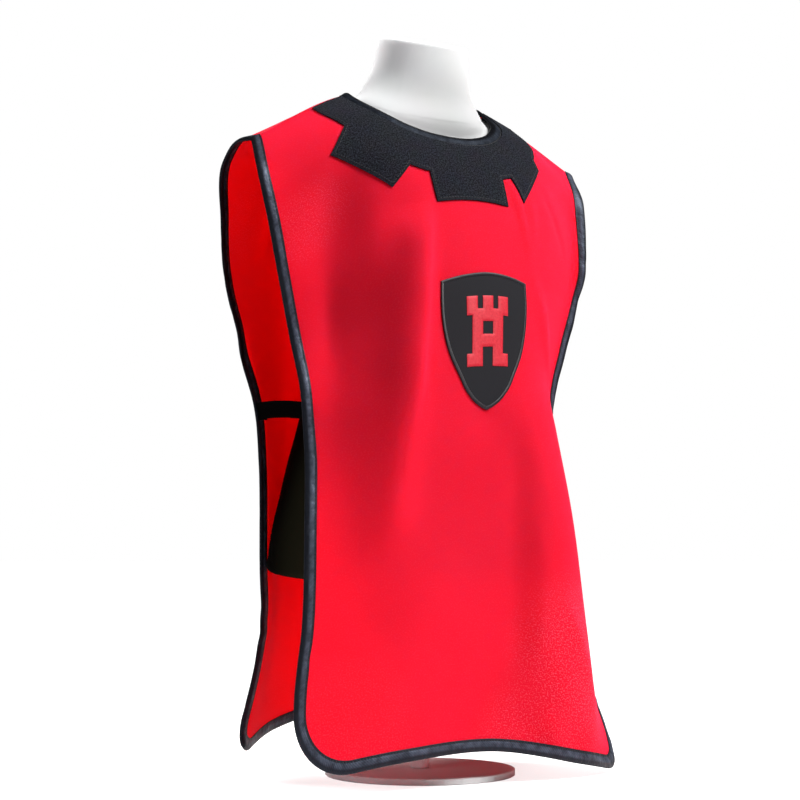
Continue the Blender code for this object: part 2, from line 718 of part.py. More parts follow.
def make_strap(name, front, back, side, made_of):
    """Flat strap from inside the back edge to inside the front edge at the waist."""
    behind = CLOTH_WALL + TRIM_GAP + BINDING_WALL + 3.5 * SEAM_GAP
    outer = []
    inner = []
    for up in (0.5, -0.5):
        out_points = []
        in_points = []
        for drape, level, order in (
                (back, STRAP_LEVEL_BACK, (STRAP_OVERLAP, 6.0, 1.0)),
                (front, STRAP_LEVEL_FRONT, (1.0, 6.0, STRAP_OVERLAP))):
            height = level + LIFT + up * STRAP_HEIGHT
            down = level_on_edge(drape, side, height)
            for inset in order:
                across = np.array([float(side * (half_width(drape, down, side) - inset))])
                for points, depth in ((out_points, behind), (in_points, behind + STRAP_WALL)):
                    point = at_height(drape, across, np.array([down]), np.array([-depth]))[0]
                    point[2] = height
                    points.append(point)
        for points, keep in ((out_points, outer), (in_points, inner)):
            points = np.array(points)
            span = points[3] - points[2]
            bow = np.array([side * STRAP_BOW, 0.0, STRAP_ARCH])
            between = [points[2] + span * f + bow * math.sin(math.pi * f) for f in (0.25, 0.5, 0.75)]
            keep.append(np.concatenate([points[:3], between, points[3:]]))
    return finish(name, layer(np.array(outer), np.array(inner)), made_of)


def room_table(drape, drop):
    """How far from the plane of the seams the form may reach under a panel, by height and by
    place across. Inside the neck opening it may rise past the cloth."""
    across = np.linspace(-1, 1, 121)
    down = np.linspace(0, drape["length"], 321)
    across, down = np.meshgrid(across, down, indexing="ij")
    across = across * half_width(drape, down, across)
    neck_half = np.where(across < 0, NECK_RIGHT, NECK_LEFT)
    round_neck = np.maximum(np.hypot(across / neck_half, down / drop), 0.001)
    steepness = np.maximum(np.hypot(across / neck_half**2, down / drop**2), 0.00001)
    past_neck = (round_neck - 1) * round_neck / steepness
    near_neck = np.exp(-(np.maximum(past_neck, 0.0) / 16.0) ** 4)
    room = ROOM_ON_SHOULDER + (ROOM_AT_NECK - ROOM_ON_SHOULDER) * near_neck
    room -= 1.5 * np.clip(-past_neck - 5.0, 0.0, FREE_INSIDE_NECK - 5.0)
    free = past_neck < -FREE_INSIDE_NECK
    inside = at_height(drape, across, down, -room)
    inside[..., 1] = np.where(free, 999.0, inside[..., 1] * drape["way"])
    above = np.where(past_neck[:, 0] < -5.0, 999.0, 0.0)
    table = []
    for height in ROOM_HEIGHTS:
        column_x = [float(np.interp(-height, -column[:, 2], column[:, 0])) for column in inside]
        column_out = [
            float(np.interp(-height, -column[:, 2], column[:, 1], left=top))
            for column, top in zip(inside, above)]
        table.append(np.interp(ROOM_ACROSS, column_x, column_out, left=999.0, right=999.0))
    return np.array(table)


def room_at(table, x, z):
    """The reach that a room table gives at each point."""
    r = np.clip((z - ROOM_HEIGHTS[0]) / 2.5, 0, len(ROOM_HEIGHTS) - 1.001)
    c = np.clip((x - ROOM_ACROSS[0]) / 2.0, 0, len(ROOM_ACROSS) - 1.001)
    i, j = r.astype(int), c.astype(int)
    f, g = r - i, c - j
    corners = np.array([table[i, j], table[i, j + 1], table[i + 1, j], table[i + 1, j + 1]])
    reach = (corners[0] * (1 - g) + corners[1] * g) * (1 - f) + (corners[2] * (1 - g) + corners[3] * g) * f
    return np.maximum(np.where(corners.max(axis=0) > 900.0, corners.min(axis=0), reach), 0.3)


def reach_along(table, x, height, slope, way):
    """How far each point of a sloping level may go to the front or back before it meets the
    limit of a room table."""
    steps = np.arange(0.0, 131.0)[:, None]
    z = np.broadcast_to(height + slope * way * steps, (len(steps), len(x)))
    spare = room_at(table, np.broadcast_to(x, z.shape), z) - steps
    over = spare < 0
    first = np.argmax(over, axis=0)
    columns = np.arange(len(x))
    low, high = spare[first - 1, columns], spare[first, columns]
    reach = first - 1 + low / np.maximum(low - high, 1e-6)
    return np.where(over.any(axis=0), np.maximum(reach, 0.3), 999.0)


def smaller(a, b):
    """The smaller of two reaches, with an eased change from one to the other."""
    return (a + b - np.sqrt((a - b) ** 2 + ROOM_EASE**2)) / 2


def form_section(rooms, row):
    """A level of the dress form, kept clear of the cloth that hangs round it."""
    level = dict(zip(FORM_NAMES, row))
    turn = np.linspace(0, 2 * math.pi, FORM_SIDES, endpoint=False)
    x = (level["left"] - level["right"]) / 2 + (level["left"] + level["right"]) / 2 * np.cos(turn)
    full = level["middle"] + level["half_deep"] * np.sin(turn)
    height = level["height"] + LIFT
    before = smaller(-full, reach_along(rooms[0], x, height, level["tilt"], -1.0))
    behind = smaller(full, reach_along(rooms[1], x, height, level["tilt"], 1.0))
    y = np.where(full < 0, -np.maximum(before, 0.3), np.maximum(behind, 0.3))
    y = np.where(np.abs(full) < 0.3, full, y)
    return np.stack([x, y, height + level["tilt"] * y], -1)


def yoke_rows(front):
    """Levels of the shoulders, just under the shoulder seams of the cloth."""
    across = np.linspace(50, SHOULDER_END + 30, 261)
    rows = []
    for number, (height, tilt) in enumerate(YOKE_LEVELS):
        reach = []
        for side, neck in ((-1.0, NECK_RIGHT), (1.0, NECK_LEFT)):
            seam = cloth_point(front, side * across, 0.0)
            lift = cloth_normal(front, side * across, np.zeros(len(across)))
            near_neck = np.exp(-(np.maximum(across - neck, 0.0) / 17.0) ** 4)
            below = ROOM_ON_SEAM + (ROOM_AT_SEAM_END - ROOM_ON_SEAM) * near_neck
            under = seam - lift * below[:, None]
            end = float(np.interp(-height, -under[:, 2] + LIFT, np.abs(under[:, 0])))
            reach.append(min(end, SHOULDER_END))
        part = number / (len(YOKE_LEVELS) - 1)
        deep = YOKE_DEPTH_TOP + (YOKE_DEPTH_END - YOKE_DEPTH_TOP) * part
        rows.append((height, *reach, deep, -9.0 + 8.0 * part, tilt))
    return rows


def rounded_end(ring, radius, way):
    """Two smaller rings that round the end of a body, upwards or downwards."""
    inwards = ring.mean(axis=0) - ring
    inwards /= np.linalg.norm(inwards, axis=1, keepdims=True)
    rings = []
    for part_in, part_up in ((0.3, 0.72), (1.0, 1.0)):
        rings.append(ring + inwards * radius * part_in + np.array([0.0, 0.0, way * radius * part_up]))
    return rings


def make_form_neck(front, rooms, made_of):
    """Pale neck and shoulders of the dress form."""
    sections = [form_section(rooms, row) for row in list(NECK_ROWS) + yoke_rows(front)]
    sections = rounded_end(sections[0], NECK_EDGE_RADIUS, 1.0)[::-1] + sections
    return finish("form_neck", stack_of_sections(np.array(sections)), made_of)


def make_form_torso(front, rooms, made_of):
    """Dark body of the dress form, below the shoulders."""
    last = yoke_rows(front)[-1]
    rows = [(last[0] - SEAM_GAP, *last[1:])] + list(TORSO_ROWS)
    sections = [form_section(rooms, row) for row in rows]
    sections += rounded_end(sections[-1], TORSO_EDGE_RADIUS, -1.0)
    return finish("form_torso", stack_of_sections(np.array(sections)), made_of)


def make_round(name, radius, low, high, made_of):
    """Turned piece of the stand, with softened edges."""
    middle = (low + high) / 2 * MM
    bpy.ops.mesh.primitive_cylinder_add(
        vertices=STAND_SIDES, radius=radius * MM, depth=(high - low) * MM, location=(0, 0, middle))
    item = bpy.context.object
    item.name = name
    item.data.name = name
    softened = item.modifiers.new("softened edges", "BEVEL")
    softened.width = STAND_EDGE * MM
    softened.segments = 1
    item.data.shade_smooth()
    item.data.set_sharp_from_angle(angle=math.radians(40.0))
    item.data.materials.append(made_of)
    return item


def build():
    """Make every piece, from the cloth to the stand that carries it."""
    clear_scene()
    front = make_drape(FRONT_ROWS, FRONT_FOLDS, -1.0, FRONT_CORNER_RADIUS)
    back = make_drape(BACK_ROWS, BACK_FOLDS, 1.0, BACK_CORNER_RADIUS)
    make_panel("front_panel", front, FRONT_NECK_DROP, surface("front cloth", "DE1630", 0.62, 0.2))
    make_panel("back_panel", back, BACK_NECK_DROP, surface("back cloth", "DE1630", 0.62, 0.2))
    make_edge_binding(front, back, surface("edge binding satin", "26222B", 0.38))
    make_neck_binding(front, back, surface("neck binding satin", "26222B", 0.38))
    make_collar(front, surface("collar felt", "2A2830", 0.9, 0.3))
    make_shield(front, surface("shield twill", "242129", 0.8))
    make_shield_rim(front, surface("shield border thread", "1B191F", 0.45))
    make_tower(front, surface("tower thread", "C62433", 0.5))
    make_strap("strap_right", front, back, -1.0, surface("right strap elastic", "1E1B20", 0.8))
    make_strap("strap_left", front, back, 1.0, surface("left strap elastic", "1E1B20", 0.8))
    rooms = (room_table(front, FRONT_NECK_DROP), room_table(back, BACK_NECK_DROP))
    make_form_neck(front, rooms, surface("form neck cover", "D6D6D6", 0.6))
    make_form_torso(front, rooms, surface("form torso cover", "221D12", 0.7))
    pole_low = BASE_HEIGHT + SEAM_GAP
    pole_high = TORSO_ROWS[-1][0] + LIFT - TORSO_EDGE_RADIUS - 4 * SEAM_GAP
    make_round("stand_pole", POLE_RADIUS, pole_low, pole_high, surface("pole enamel", "E6E6E4", 0.35))
    make_round("stand_base", BASE_RADIUS, 0.0, BASE_HEIGHT, surface("base enamel", "E6E6E4", 0.35))


build()
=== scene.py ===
import math

import bmesh
import bpy
import numpy as np
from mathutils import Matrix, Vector


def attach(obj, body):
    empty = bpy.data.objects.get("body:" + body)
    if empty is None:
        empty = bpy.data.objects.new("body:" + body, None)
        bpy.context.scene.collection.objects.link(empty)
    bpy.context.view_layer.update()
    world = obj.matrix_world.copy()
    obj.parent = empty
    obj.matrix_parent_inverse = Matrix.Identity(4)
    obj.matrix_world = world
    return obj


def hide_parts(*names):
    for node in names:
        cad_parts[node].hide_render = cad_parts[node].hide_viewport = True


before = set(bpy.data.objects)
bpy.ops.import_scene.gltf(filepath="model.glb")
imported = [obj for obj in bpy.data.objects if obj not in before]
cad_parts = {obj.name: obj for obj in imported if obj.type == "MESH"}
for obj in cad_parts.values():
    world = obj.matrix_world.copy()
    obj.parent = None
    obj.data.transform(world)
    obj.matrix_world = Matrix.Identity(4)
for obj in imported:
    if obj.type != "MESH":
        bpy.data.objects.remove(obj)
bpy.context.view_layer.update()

# Camera
# A long lens at the height of the wearer's hips, before the wearer's right side and tipped
# slightly upwards.
CAMERA_AZIMUTH = math.radians(-36.5)
CAMERA_DISTANCE = 2.1
CAMERA_HEIGHT = 0.248
CAMERA_SIDESTEP = -0.019
CAMERA_PITCH = math.radians(2.9)
CAMERA_LENS = 99.2

away = Vector((math.sin(CAMERA_AZIMUTH), -math.cos(CAMERA_AZIMUTH), 0.0))
rightwards = Vector((math.cos(CAMERA_AZIMUTH), math.sin(CAMERA_AZIMUTH), 0.0))
looking = -away * math.cos(CAMERA_PITCH) + Vector((0.0, 0.0, math.sin(CAMERA_PITCH)))
camera_data = bpy.data.cameras.new("camera")
camera_data.lens = CAMERA_LENS
camera_data.sensor_width = 36.0
camera = bpy.data.objects.new("camera", camera_data)
camera.location = away * CAMERA_DISTANCE + rightwards * CAMERA_SIDESTEP + Vector((0, 0, CAMERA_HEIGHT))
camera.rotation_mode = "QUATERNION"
camera.rotation_quaternion = looking.to_track_quat("-Z", "Y")
bpy.context.scene.collection.objects.link(camera)
bpy.context.scene.camera = camera

# Studio
# A white floor and a white surround, with one large soft light high at the right of the camera,
# a weak one at its left, and two behind, which shine through the cloth of the back.
FLOOR_RADIUS = 9.0
TABARD_MIDDLE = 0.36


def linear(hex_colour):
    """Linear colour of an sRGB hex colour."""
    parts = [int(hex_colour[k:k + 2], 16) / 255.0 for k in (0, 2, 4)]
    return [p / 12.92 if p <= 0.04045 else ((p + 0.055) / 1.055) ** 2.4 for p in parts] + [1.0]


def set_inputs(tree, node, inputs):
    """Give each named input its value, or link it to the socket that feeds it."""
    for name, value in inputs.items():
        socket = node.inputs[name]
        if isinstance(value, bpy.types.NodeSocket):
            tree.links.new(value, socket)
        else:
            socket.default_value = value


def add_node(tree, kind, settings=None, inputs=None):
    """A shader node with its settings and inputs."""
    node = tree.nodes.new("ShaderNode" + kind)
    for name, value in (settings or {}).items():
        setattr(node, name, value)
    set_inputs(tree, node, inputs or {})
    return node


def new_material(name):
    """A new material, with its node tree and its Principled shader."""
    made = bpy.data.materials.new(name)
    made.use_nodes = True
    return made, made.node_tree, made.node_tree.nodes["Principled BSDF"]


def soft_light(name, azimuth, elevation, distance, size, power, colour):
    """A square soft light that faces the middle of the tabard from the given side."""
    azimuth = math.radians(azimuth)
    elevation = math.radians(elevation)
    data = bpy.data.lights.new(name, "AREA")
    data.shape = "SQUARE"
    data.size = size
    data.energy = power
    data.color = linear(colour)[:3]
    lamp = bpy.data.objects.new(name, data)
    level = Vector((math.sin(azimuth), -math.cos(azimuth), 0.0))
    out = level * math.cos(elevation) + Vector((0.0, 0.0, math.sin(elevation)))
    lamp.location = Vector((0, 0, TABARD_MIDDLE)) + out * distance
    lamp.rotation_mode = "QUATERNION"
    lamp.rotation_quaternion = (-out).to_track_quat("-Z", "Y")
    bpy.context.scene.collection.objects.link(lamp)
    return lamp


soft_light("key light", 31.0, 46.0, 2.6, 1.2, 122.0, "FFFFFF")
soft_light("left fill", -78.0, 25.0, 2.6, 1.6, 7.0, "F4F8FF")
for name, azimuth, power in (("left back light", -160.0, 78.0), ("right back light", 150.0, 42.0)):
    soft_light(name, azimuth, 30.0, 2.7, 1.6, power, "FFFFFF").visible_glossy = False

world = bpy.data.worlds.new("white surround")
world.use_nodes = True
bpy.context.scene.world = world
tree = world.node_tree
tree.nodes.clear()
seen = add_node(tree, "Background", None, {"Color": (1, 1, 1, 1), "Strength": 1.0})
lit = add_node(tree, "Background", None, {"Color": (1, 1, 1, 1), "Strength": 0.12})
either = add_node(tree, "MixShader", None, {
    0: add_node(tree, "LightPath").outputs["Is Camera Ray"], 1: lit.outputs[0], 2: seen.outputs[0]})
add_node(tree, "OutputWorld", None, {"Surface": either.outputs[0]})

bpy.ops.object.select_all(action="DESELECT")
bpy.ops.mesh.primitive_circle_add(vertices=96, radius=FLOOR_RADIUS, fill_type="NGON")
floor = bpy.context.object
floor.name = "floor"
floor_paint, tree, shader = new_material("matte white floor")
spot = add_node(tree, "TexCoord").outputs["Object"]
far = add_node(tree, "VectorMath", {"operation": "LENGTH"}, {0: spot}).outputs["Value"]
reach = add_node(tree, "MapRange", {"interpolation_type": "SMOOTHSTEP"}, {
    "Value": far, "From Min": 0.45, "From Max": 0.9})
shade = add_node(tree, "Mix", {"data_type": "RGBA"}, {
    "Factor": reach.outputs["Result"], "A": linear("E8E8E8"), "B": linear("808080")})
glow = add_node(tree, "MapRange", {"interpolation_type": "SMOOTHSTEP"}, {
    "Value": far, "From Min": 0.3, "From Max": 1.3, "To Min": 0.75, "To Max": 1.0})
shown = add_node(tree, "Math", {"operation": "MULTIPLY"}, {
    0: glow.outputs["Result"], 1: add_node(tree, "LightPath").outputs["Is Camera Ray"]})
set_inputs(tree, shader, {
    "Base Color": shade.outputs["Result"], "Roughness": 0.9, "Specular IOR Level": 0.0,
    "Emission Color": (1, 1, 1, 1), "Emission Strength": shown.outputs[0]})
floor.data.materials.append(floor_paint)

bpy.context.scene.view_settings.view_transform = "Standard"
bpy.context.scene.view_settings.look = "None"

# Front cloth
# The front is one piece of bright red woven polyester, cut in one with its shoulders. It hangs
# from the shoulder seams and is bound all round, so it falls in soft uneven folds.

# Every point of the cloth is known by two distances on it in millimetres: across from the
# middle line, below zero to the wearer's right, and down from the level of the seams.
MM = 0.001
CLOTH_WALL = 0.8
SEAM_GAP = 0.06
LIFT = 13.0
NECK_RIGHT = 85.0
NECK_LEFT = 69.0
FRONT_NECK_DROP = 72.0
FRONT_CORNER_RADIUS = 55.0
EDGE_TUCK = 0.8
SPREAD_PART = 0.3
BINDING_WIDTH = 10.5

# Each level of a panel: how far down the cloth it is, its half widths across, and the heights
# and depths of its middle, of a point on the way to each side, and of its two edges.
HALF_LEVEL = 200
SIDE_PART = 0.52
LEVELS = 321
ROW_NAMES = (
    "down", "half_right", "half_left",
    "z_middle", "z_side_right", "z_side_left", "z_right", "z_left",
    "out_middle", "out_side_right", "out_side_left", "out_right", "out_left",
)
FRONT_ROWS = (
    (0, 191, 193, 641, 621, 616, 573, 573, 0, 0, 0, 0, 0),
    (42, 204, 182, 608, 592, 590, 541, 541, 36, 44, 42, 30, 21),
    (84, 200, 179, 576, 556, 555, 505, 505, 62, 70, 63, 38, 24),
    (151, 189, 175, 514, 497, 497, 455, 455, 87, 72, 80, 39, 24),
    (228, 171, 155, 439, 425, 425, 390, 390, 102, 85, 86, 35, 23),
    (290, 172, 143, 378, 368, 368, 340, 340, 105, 96, 91, 55, 21),
    (346, 171, 149, 322, 315, 315, 294, 293, 107, 103, 103, 58, 20),
    (420, 181, 168, 247, 240, 238, 222, 214, 108, 103, 112, 73, 20),
    (506, 188, 180, 160, 153, 150, 138, 128, 108, 107, 119, 80, 26),
    (580, 199, 185, 85, 80, 72, 68, 55, 109, 108, 127, 84, 38),
    (614, 200, 187, 49, 45, 35, 31, 16, 110, 108, 126, 85, 60),
    (643, 200, 191, 18.5, 14.5, 1, -2, -16, 111, 109, 120, 86, 84),
)
# Each fold runs straight from its top to its end, and each dent is round or oval.
FOLD_NAMES = (
    "across_top", "down_top", "across_end", "down_end",
    "breadth_top", "breadth_end", "out_top", "out_end",
)
FOLD_OPENING = 45.0
FOLD_CLOSING = 70.0
DENT_NAMES = ("across", "down", "breadth_across", "breadth_down", "out")
FRONT_DENTS = (
    (36, 618, 14, 16, -1.6),
    (66, 622, 12, 14, 1.4),
    (94, 618, 15, 20, -2.4),
    (118, 605, 14, 22, 1.6),
    (-176, 540, 15, 8, -2.2),
    (-150, 232, 13, 46, -3.8),
    (-4, 350, 22, 10, -1.6),
    (56, 146, 10, 14, -1.5),
)
FRONT_FOLDS = (
    (-140, 65, -156, 374, 34, 31, -11, -6),
    (-110, 100, -99, 332, 17, 18, 2.5, 2),
    (-71, 137, -120, 487, 15, 27, 14.5, 9),
    (-54, 127, -94, 362, 12, 8, 8, 2.5),
    (-130, 290, -132, 576, 24, 25, 7, -4),
    (-89, 162, -100, 369, 18, 20, 3, 3),
    (32, 350, 26, 600, 15, 18, -4, -4),
    (50, 100, 62, 200, 5, 7, 4.5, 3.5),
    (78, 112, 62, 196, 5, 7, 4.5, 3.5),
    (64, 190, 130, 330, 12, 22, 4, 6),
    (92, 84, 150, 160, 14, 18, -5, -4),
    (47, 425, 60, 500, 7, 9, 2, 3),
    (60, 490, 28, 600, 9, 12, 3, 3),
    (70, 490, 140, 620, 10, 16, 3, 4),
    (58, 585, 104, 660, 14, 18, -4, -5),
    (212, 0, 202, 200, 15, 15, 13, 13),
    (209, 155, 178, 335, 15, 15, 12, 12),
)


def unit(vectors):
    """The same directions with a length of one."""
    return vectors / np.linalg.norm(vectors, axis=-1, keepdims=True)


def smoothstep(part):
    """A part from nought to one, eased at both ends."""
    return part * part * (3 - 2 * part)


def curve_weights(part):
    """Shares of the start, the slope there, the end and the slope there in a smooth curve."""
    square = part**2
    cube = part**3
    return 2 * cube - 3 * square + 1, cube - 2 * square + part, 3 * square - 2 * cube, cube - square


def smooth_curve(knots, values, at):
    """Points at the given places on a smooth curve through values at the knots."""
    at = np.clip(at, knots[0], knots[-1])
    slopes = np.gradient(values, knots, axis=0)
    k = np.clip(np.searchsorted(knots, at, side="right") - 1, 0, len(knots) - 2)
    step = knots[k + 1] - knots[k]
    part = (at - knots[k]) / step
    if values.ndim == 2:
        step = step[:, None]
        part = part[:, None]
    start, start_slope, end, end_slope = curve_weights(part)
    first = values[k] * start + slopes[k] * step * start_slope
    return first + values[k + 1] * end + slopes[k + 1] * step * end_slope


def length_along(line):
    """How far along a line each of its points is."""
    steps = np.linalg.norm(np.diff(line, axis=0), axis=1)
    return np.concatenate([[0.0], np.cumsum(steps)])


def row_curve(row):
    """A level of the cloth as evenly spaced points, with its right and left lengths."""
    level = dict(zip(ROW_NAMES, row))
    stations = np.array([-1.0, -0.5, 0.0, 0.5, 1.0])
    points = np.array([
        (-level["half_right"], level["out_right"], level["z_right"]),
        (-SIDE_PART * level["half_right"], level["out_side_right"], level["z_side_right"]),
        (0.0, level["out_middle"], level["z_middle"]),
        (SIDE_PART * level["half_left"], level["out_side_left"], level["z_side_left"]),
        (level["half_left"], level["out_left"], level["z_left"]),
    ], float)
    even = np.linspace(-1, 1, 2 * HALF_LEVEL + 1)
    curve = smooth_curve(stations, points, even)
    length = length_along(curve)
    right = length[HALF_LEVEL]
    left = length[-1] - right
    place = np.where(length < right, (length - right) / right, (length - right) / left)
    return np.stack([np.interp(even, place, curve[:, k]) for k in range(3)], -1), right, left


def make_drape(rows, folds, dents, way, drop, corner):
    """Everything needed to find a point of one hanging panel from its place on the cloth."""
    down = np.array([row[0] for row in rows], float)
    made = [row_curve(row) for row in rows]
    curves = np.array([m[0] for m in made])
    levels = np.linspace(0, down[-1], LEVELS)
    return {
        "way": way,
        "down": down,
        "length": down[-1],
        "drop": drop,
        "corner": corner,
        "curves": curves,
        "slopes": np.gradient(curves, down, axis=0),
        "levels": levels,
        "right": smooth_curve(down, np.array([m[1] for m in made]), levels),
        "left": smooth_curve(down, np.array([m[2] for m in made]), levels),
        "folds": [dict(zip(FOLD_NAMES, fold)) for fold in folds],
        "dents": [dict(zip(DENT_NAMES, dent)) for dent in dents],
    }


def half_width(drape, down, across):
    """Length of cloth from the middle line to the edge, on the side that across is on."""
    right = np.interp(down, drape["levels"], drape["right"])
    left = np.interp(down, drape["levels"], drape["left"])
    return np.where(np.asarray(across) < 0, right, left)


def fold_height(drape, across, down):
    """How far the folds push the cloth out at each place."""
    total = np.zeros(len(across))
    for fold in drape["folds"]:
        along = np.clip((down - fold["down_top"]) / (fold["down_end"] - fold["down_top"]), 0, 1)
        middle = fold["across_top"] + (fold["across_end"] - fold["across_top"]) * along
        breadth = fold["breadth_top"] + (fold["breadth_end"] - fold["breadth_top"]) * along
        height = fold["out_top"] + (fold["out_end"] - fold["out_top"]) * along
        start = np.clip((down - fold["down_top"]) / FOLD_OPENING, 0, 1)
        finish = np.clip((fold["down_end"] - down) / FOLD_CLOSING, 0, 1)
        total += height * smoothstep(start * finish) * np.exp(-((across - middle) / breadth) ** 2)
    for dent in drape["dents"]:
        over = (across - dent["across"]) / dent["breadth_across"]
        below = (down - dent["down"]) / dent["breadth_down"]
        total += dent["out"] * np.exp(-over**2 - below**2)
    return total


def cloth_point(drape, across, down):
    """Points on the outer face, in millimetres above the floor."""
    across, down = np.broadcast_arrays(np.asarray(across, float), np.asarray(down, float))
    shape = across.shape
    across = across.ravel()
    down = np.clip(down.ravel(), 0, drape["length"])
    place = (np.clip(across / half_width(drape, down, across), -1, 1) + 1) * HALF_LEVEL
    i = np.clip(place.astype(int), 0, 2 * HALF_LEVEL - 1)
    part = (place - i)[:, None]
    rows = drape["down"]
    k = np.clip(np.searchsorted(rows, down, side="right") - 1, 0, len(rows) - 2)
    step = (rows[k + 1] - rows[k])[:, None]
    start, start_slope, end, end_slope = curve_weights((down - rows[k])[:, None] / step)

    def between(table, level):
        return table[level, i] * (1 - part) + table[level, i + 1] * part

    points = between(drape["curves"], k) * start
    points += between(drape["slopes"], k) * step * start_slope
    points += between(drape["curves"], k + 1) * end
    points += between(drape["slopes"], k + 1) * step * end_slope
    points[:, 1] = np.maximum(points[:, 1] + fold_height(drape, across, down), SEAM_GAP / 2)
    points[:, 1] *= drape["way"]
    points[:, 2] += LIFT
    return points.reshape(shape + (3,))


def cloth_normal(drape, across, down):
    """Outward directions; along the shoulder seam they lie in the plane of the seam."""
    across, down = np.broadcast_arrays(np.asarray(across, float), np.asarray(down, float))
    half = half_width(drape, down, across)
    step = 1.5
    low = np.clip(across - step, -half, half)
    high = np.clip(across + step, -half, half)
    over = cloth_point(drape, high, down) - cloth_point(drape, low, down)
    below = cloth_point(drape, across, down + step) - cloth_point(drape, across, down - step)
    normal = unit(np.cross(over, below) * drape["way"])
    seam = down < 0.01
    normal[seam, 1] = 0.0
    normal[seam] = unit(normal[seam])
    return normal


def at_height(drape, across, down, height):
    """Points a given height above the outer face of the cloth."""
    height = np.broadcast_to(np.asarray(height, float), np.broadcast(across, down).shape)[..., None]
    return cloth_point(drape, across, down) + cloth_normal(drape, across, down) * height


def layer(outer, inner, cells=None):
    """A closed sheet between two grids of points; cells says which squares of it are there."""
    rows, columns = outer.shape[:2]
    if cells is None:
        cells = np.ones((rows - 1, columns - 1), bool)
    count = rows * columns
    faces = []
    borders = set()
    for r, c in zip(*np.nonzero(cells)):
        first = int(r) * columns + int(c)
        corners = (first, first + 1, first + columns + 1, first + columns)
        faces.append(corners)
        faces.append(tuple(v + count for v in reversed(corners)))
        for a, b in zip(corners, corners[1:] + corners[:1]):
            if (b, a) in borders:
                borders.remove((b, a))
            else:
                borders.add((a, b))
    for a, b in sorted(borders):
        faces.append((b, a, a + count, b + count))
    return np.concatenate([outer.reshape(-1, 3), inner.reshape(-1, 3)]), faces


def make_piece(name, points, faces, places, material, crease_degrees=50.0):
    """A smooth piece in metres from points in millimetres, with its places as its UV map."""
    used = sorted({v for face in faces for v in face})
    order = {v: k for k, v in enumerate(used)}
    mesh = bpy.data.meshes.new(name)
    mesh.from_pydata((points[used] * MM).tolist(), [], [tuple(order[v] for v in f) for f in faces])
    shape = bmesh.new()
    shape.from_mesh(mesh)
    bmesh.ops.recalc_face_normals(shape, faces=shape.faces)
    shape.to_mesh(mesh)
    shape.free()
    corners = np.zeros(len(mesh.loops), np.int32)
    mesh.loops.foreach_get("vertex_index", corners)
    flat = (places[used] * MM)[corners]
    mesh.uv_layers.new(name="cloth").data.foreach_set("uv", flat.astype(np.float32).ravel())
    mesh.shade_smooth()
    mesh.set_sharp_from_angle(angle=math.radians(crease_degrees))
    mesh.materials.append(material)
    piece = bpy.data.objects.new(name, mesh)
    bpy.context.scene.collection.objects.link(piece)
    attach(piece, "root")
    return piece


def laid_piece(name, drape, across, down, top, bottom, material, slot_name, cells=None, crease_degrees=50.0):
    """A closed sheet that lies on a panel, between two heights above its outer face."""
    points, faces = layer(at_height(drape, across, down, top), at_height(drape, across, down, bottom), cells)
    flat = np.stack([across.ravel(), down.ravel()], -1)
    return make_piece(name, points, faces, np.concatenate([flat, flat]), material, crease_degrees)


def neck_line(drape, angle):
    """Edge of the neck on the cloth, with the direction that leads away from the neck."""
    drop = drape["drop"]
    half = np.where(angle < 0, NECK_RIGHT, NECK_LEFT)
    across = half * np.sin(angle)
    down = drop * np.cos(angle)
    lean = unit(np.stack([np.sin(angle) / half, np.cos(angle) / drop], -1))
    down = np.where(np.abs(np.abs(angle) - math.pi / 2) < 1e-6, 0.0, down)
    lean[..., 1] = np.where(down == 0.0, 0.0, lean[..., 1])
    return across, down, lean


def round_corners(drape, across, down):
    """Turn the square lower corners of the cloth into round ones."""
    radius = drape["corner"]
    side = np.where(across < 0, -1.0, 1.0)
    half = half_width(drape, down, across)
    a = (np.abs(across) - (half - radius)) / radius
    b = (down - (drape["length"] - radius)) / radius
    inside = (a > 0) & (b > 0)
    big = np.where(inside, np.maximum(a, b), 1.0)
    turn = math.pi / 4 * np.where(inside, np.minimum(a, b) / big, 0.0)
    turn = np.where(b > a, math.pi / 2 - turn, turn)
    across = np.where(inside, side * (half - radius + radius * big * np.cos(turn)), across)
    down = np.where(inside, drape["length"] - radius + radius * big * np.sin(turn), down)
    return across, down


NECK_COLUMNS = 61
SHOULDER_COLUMNS = 16
PANEL_ROWS = 121
HEM_ROWS = 10


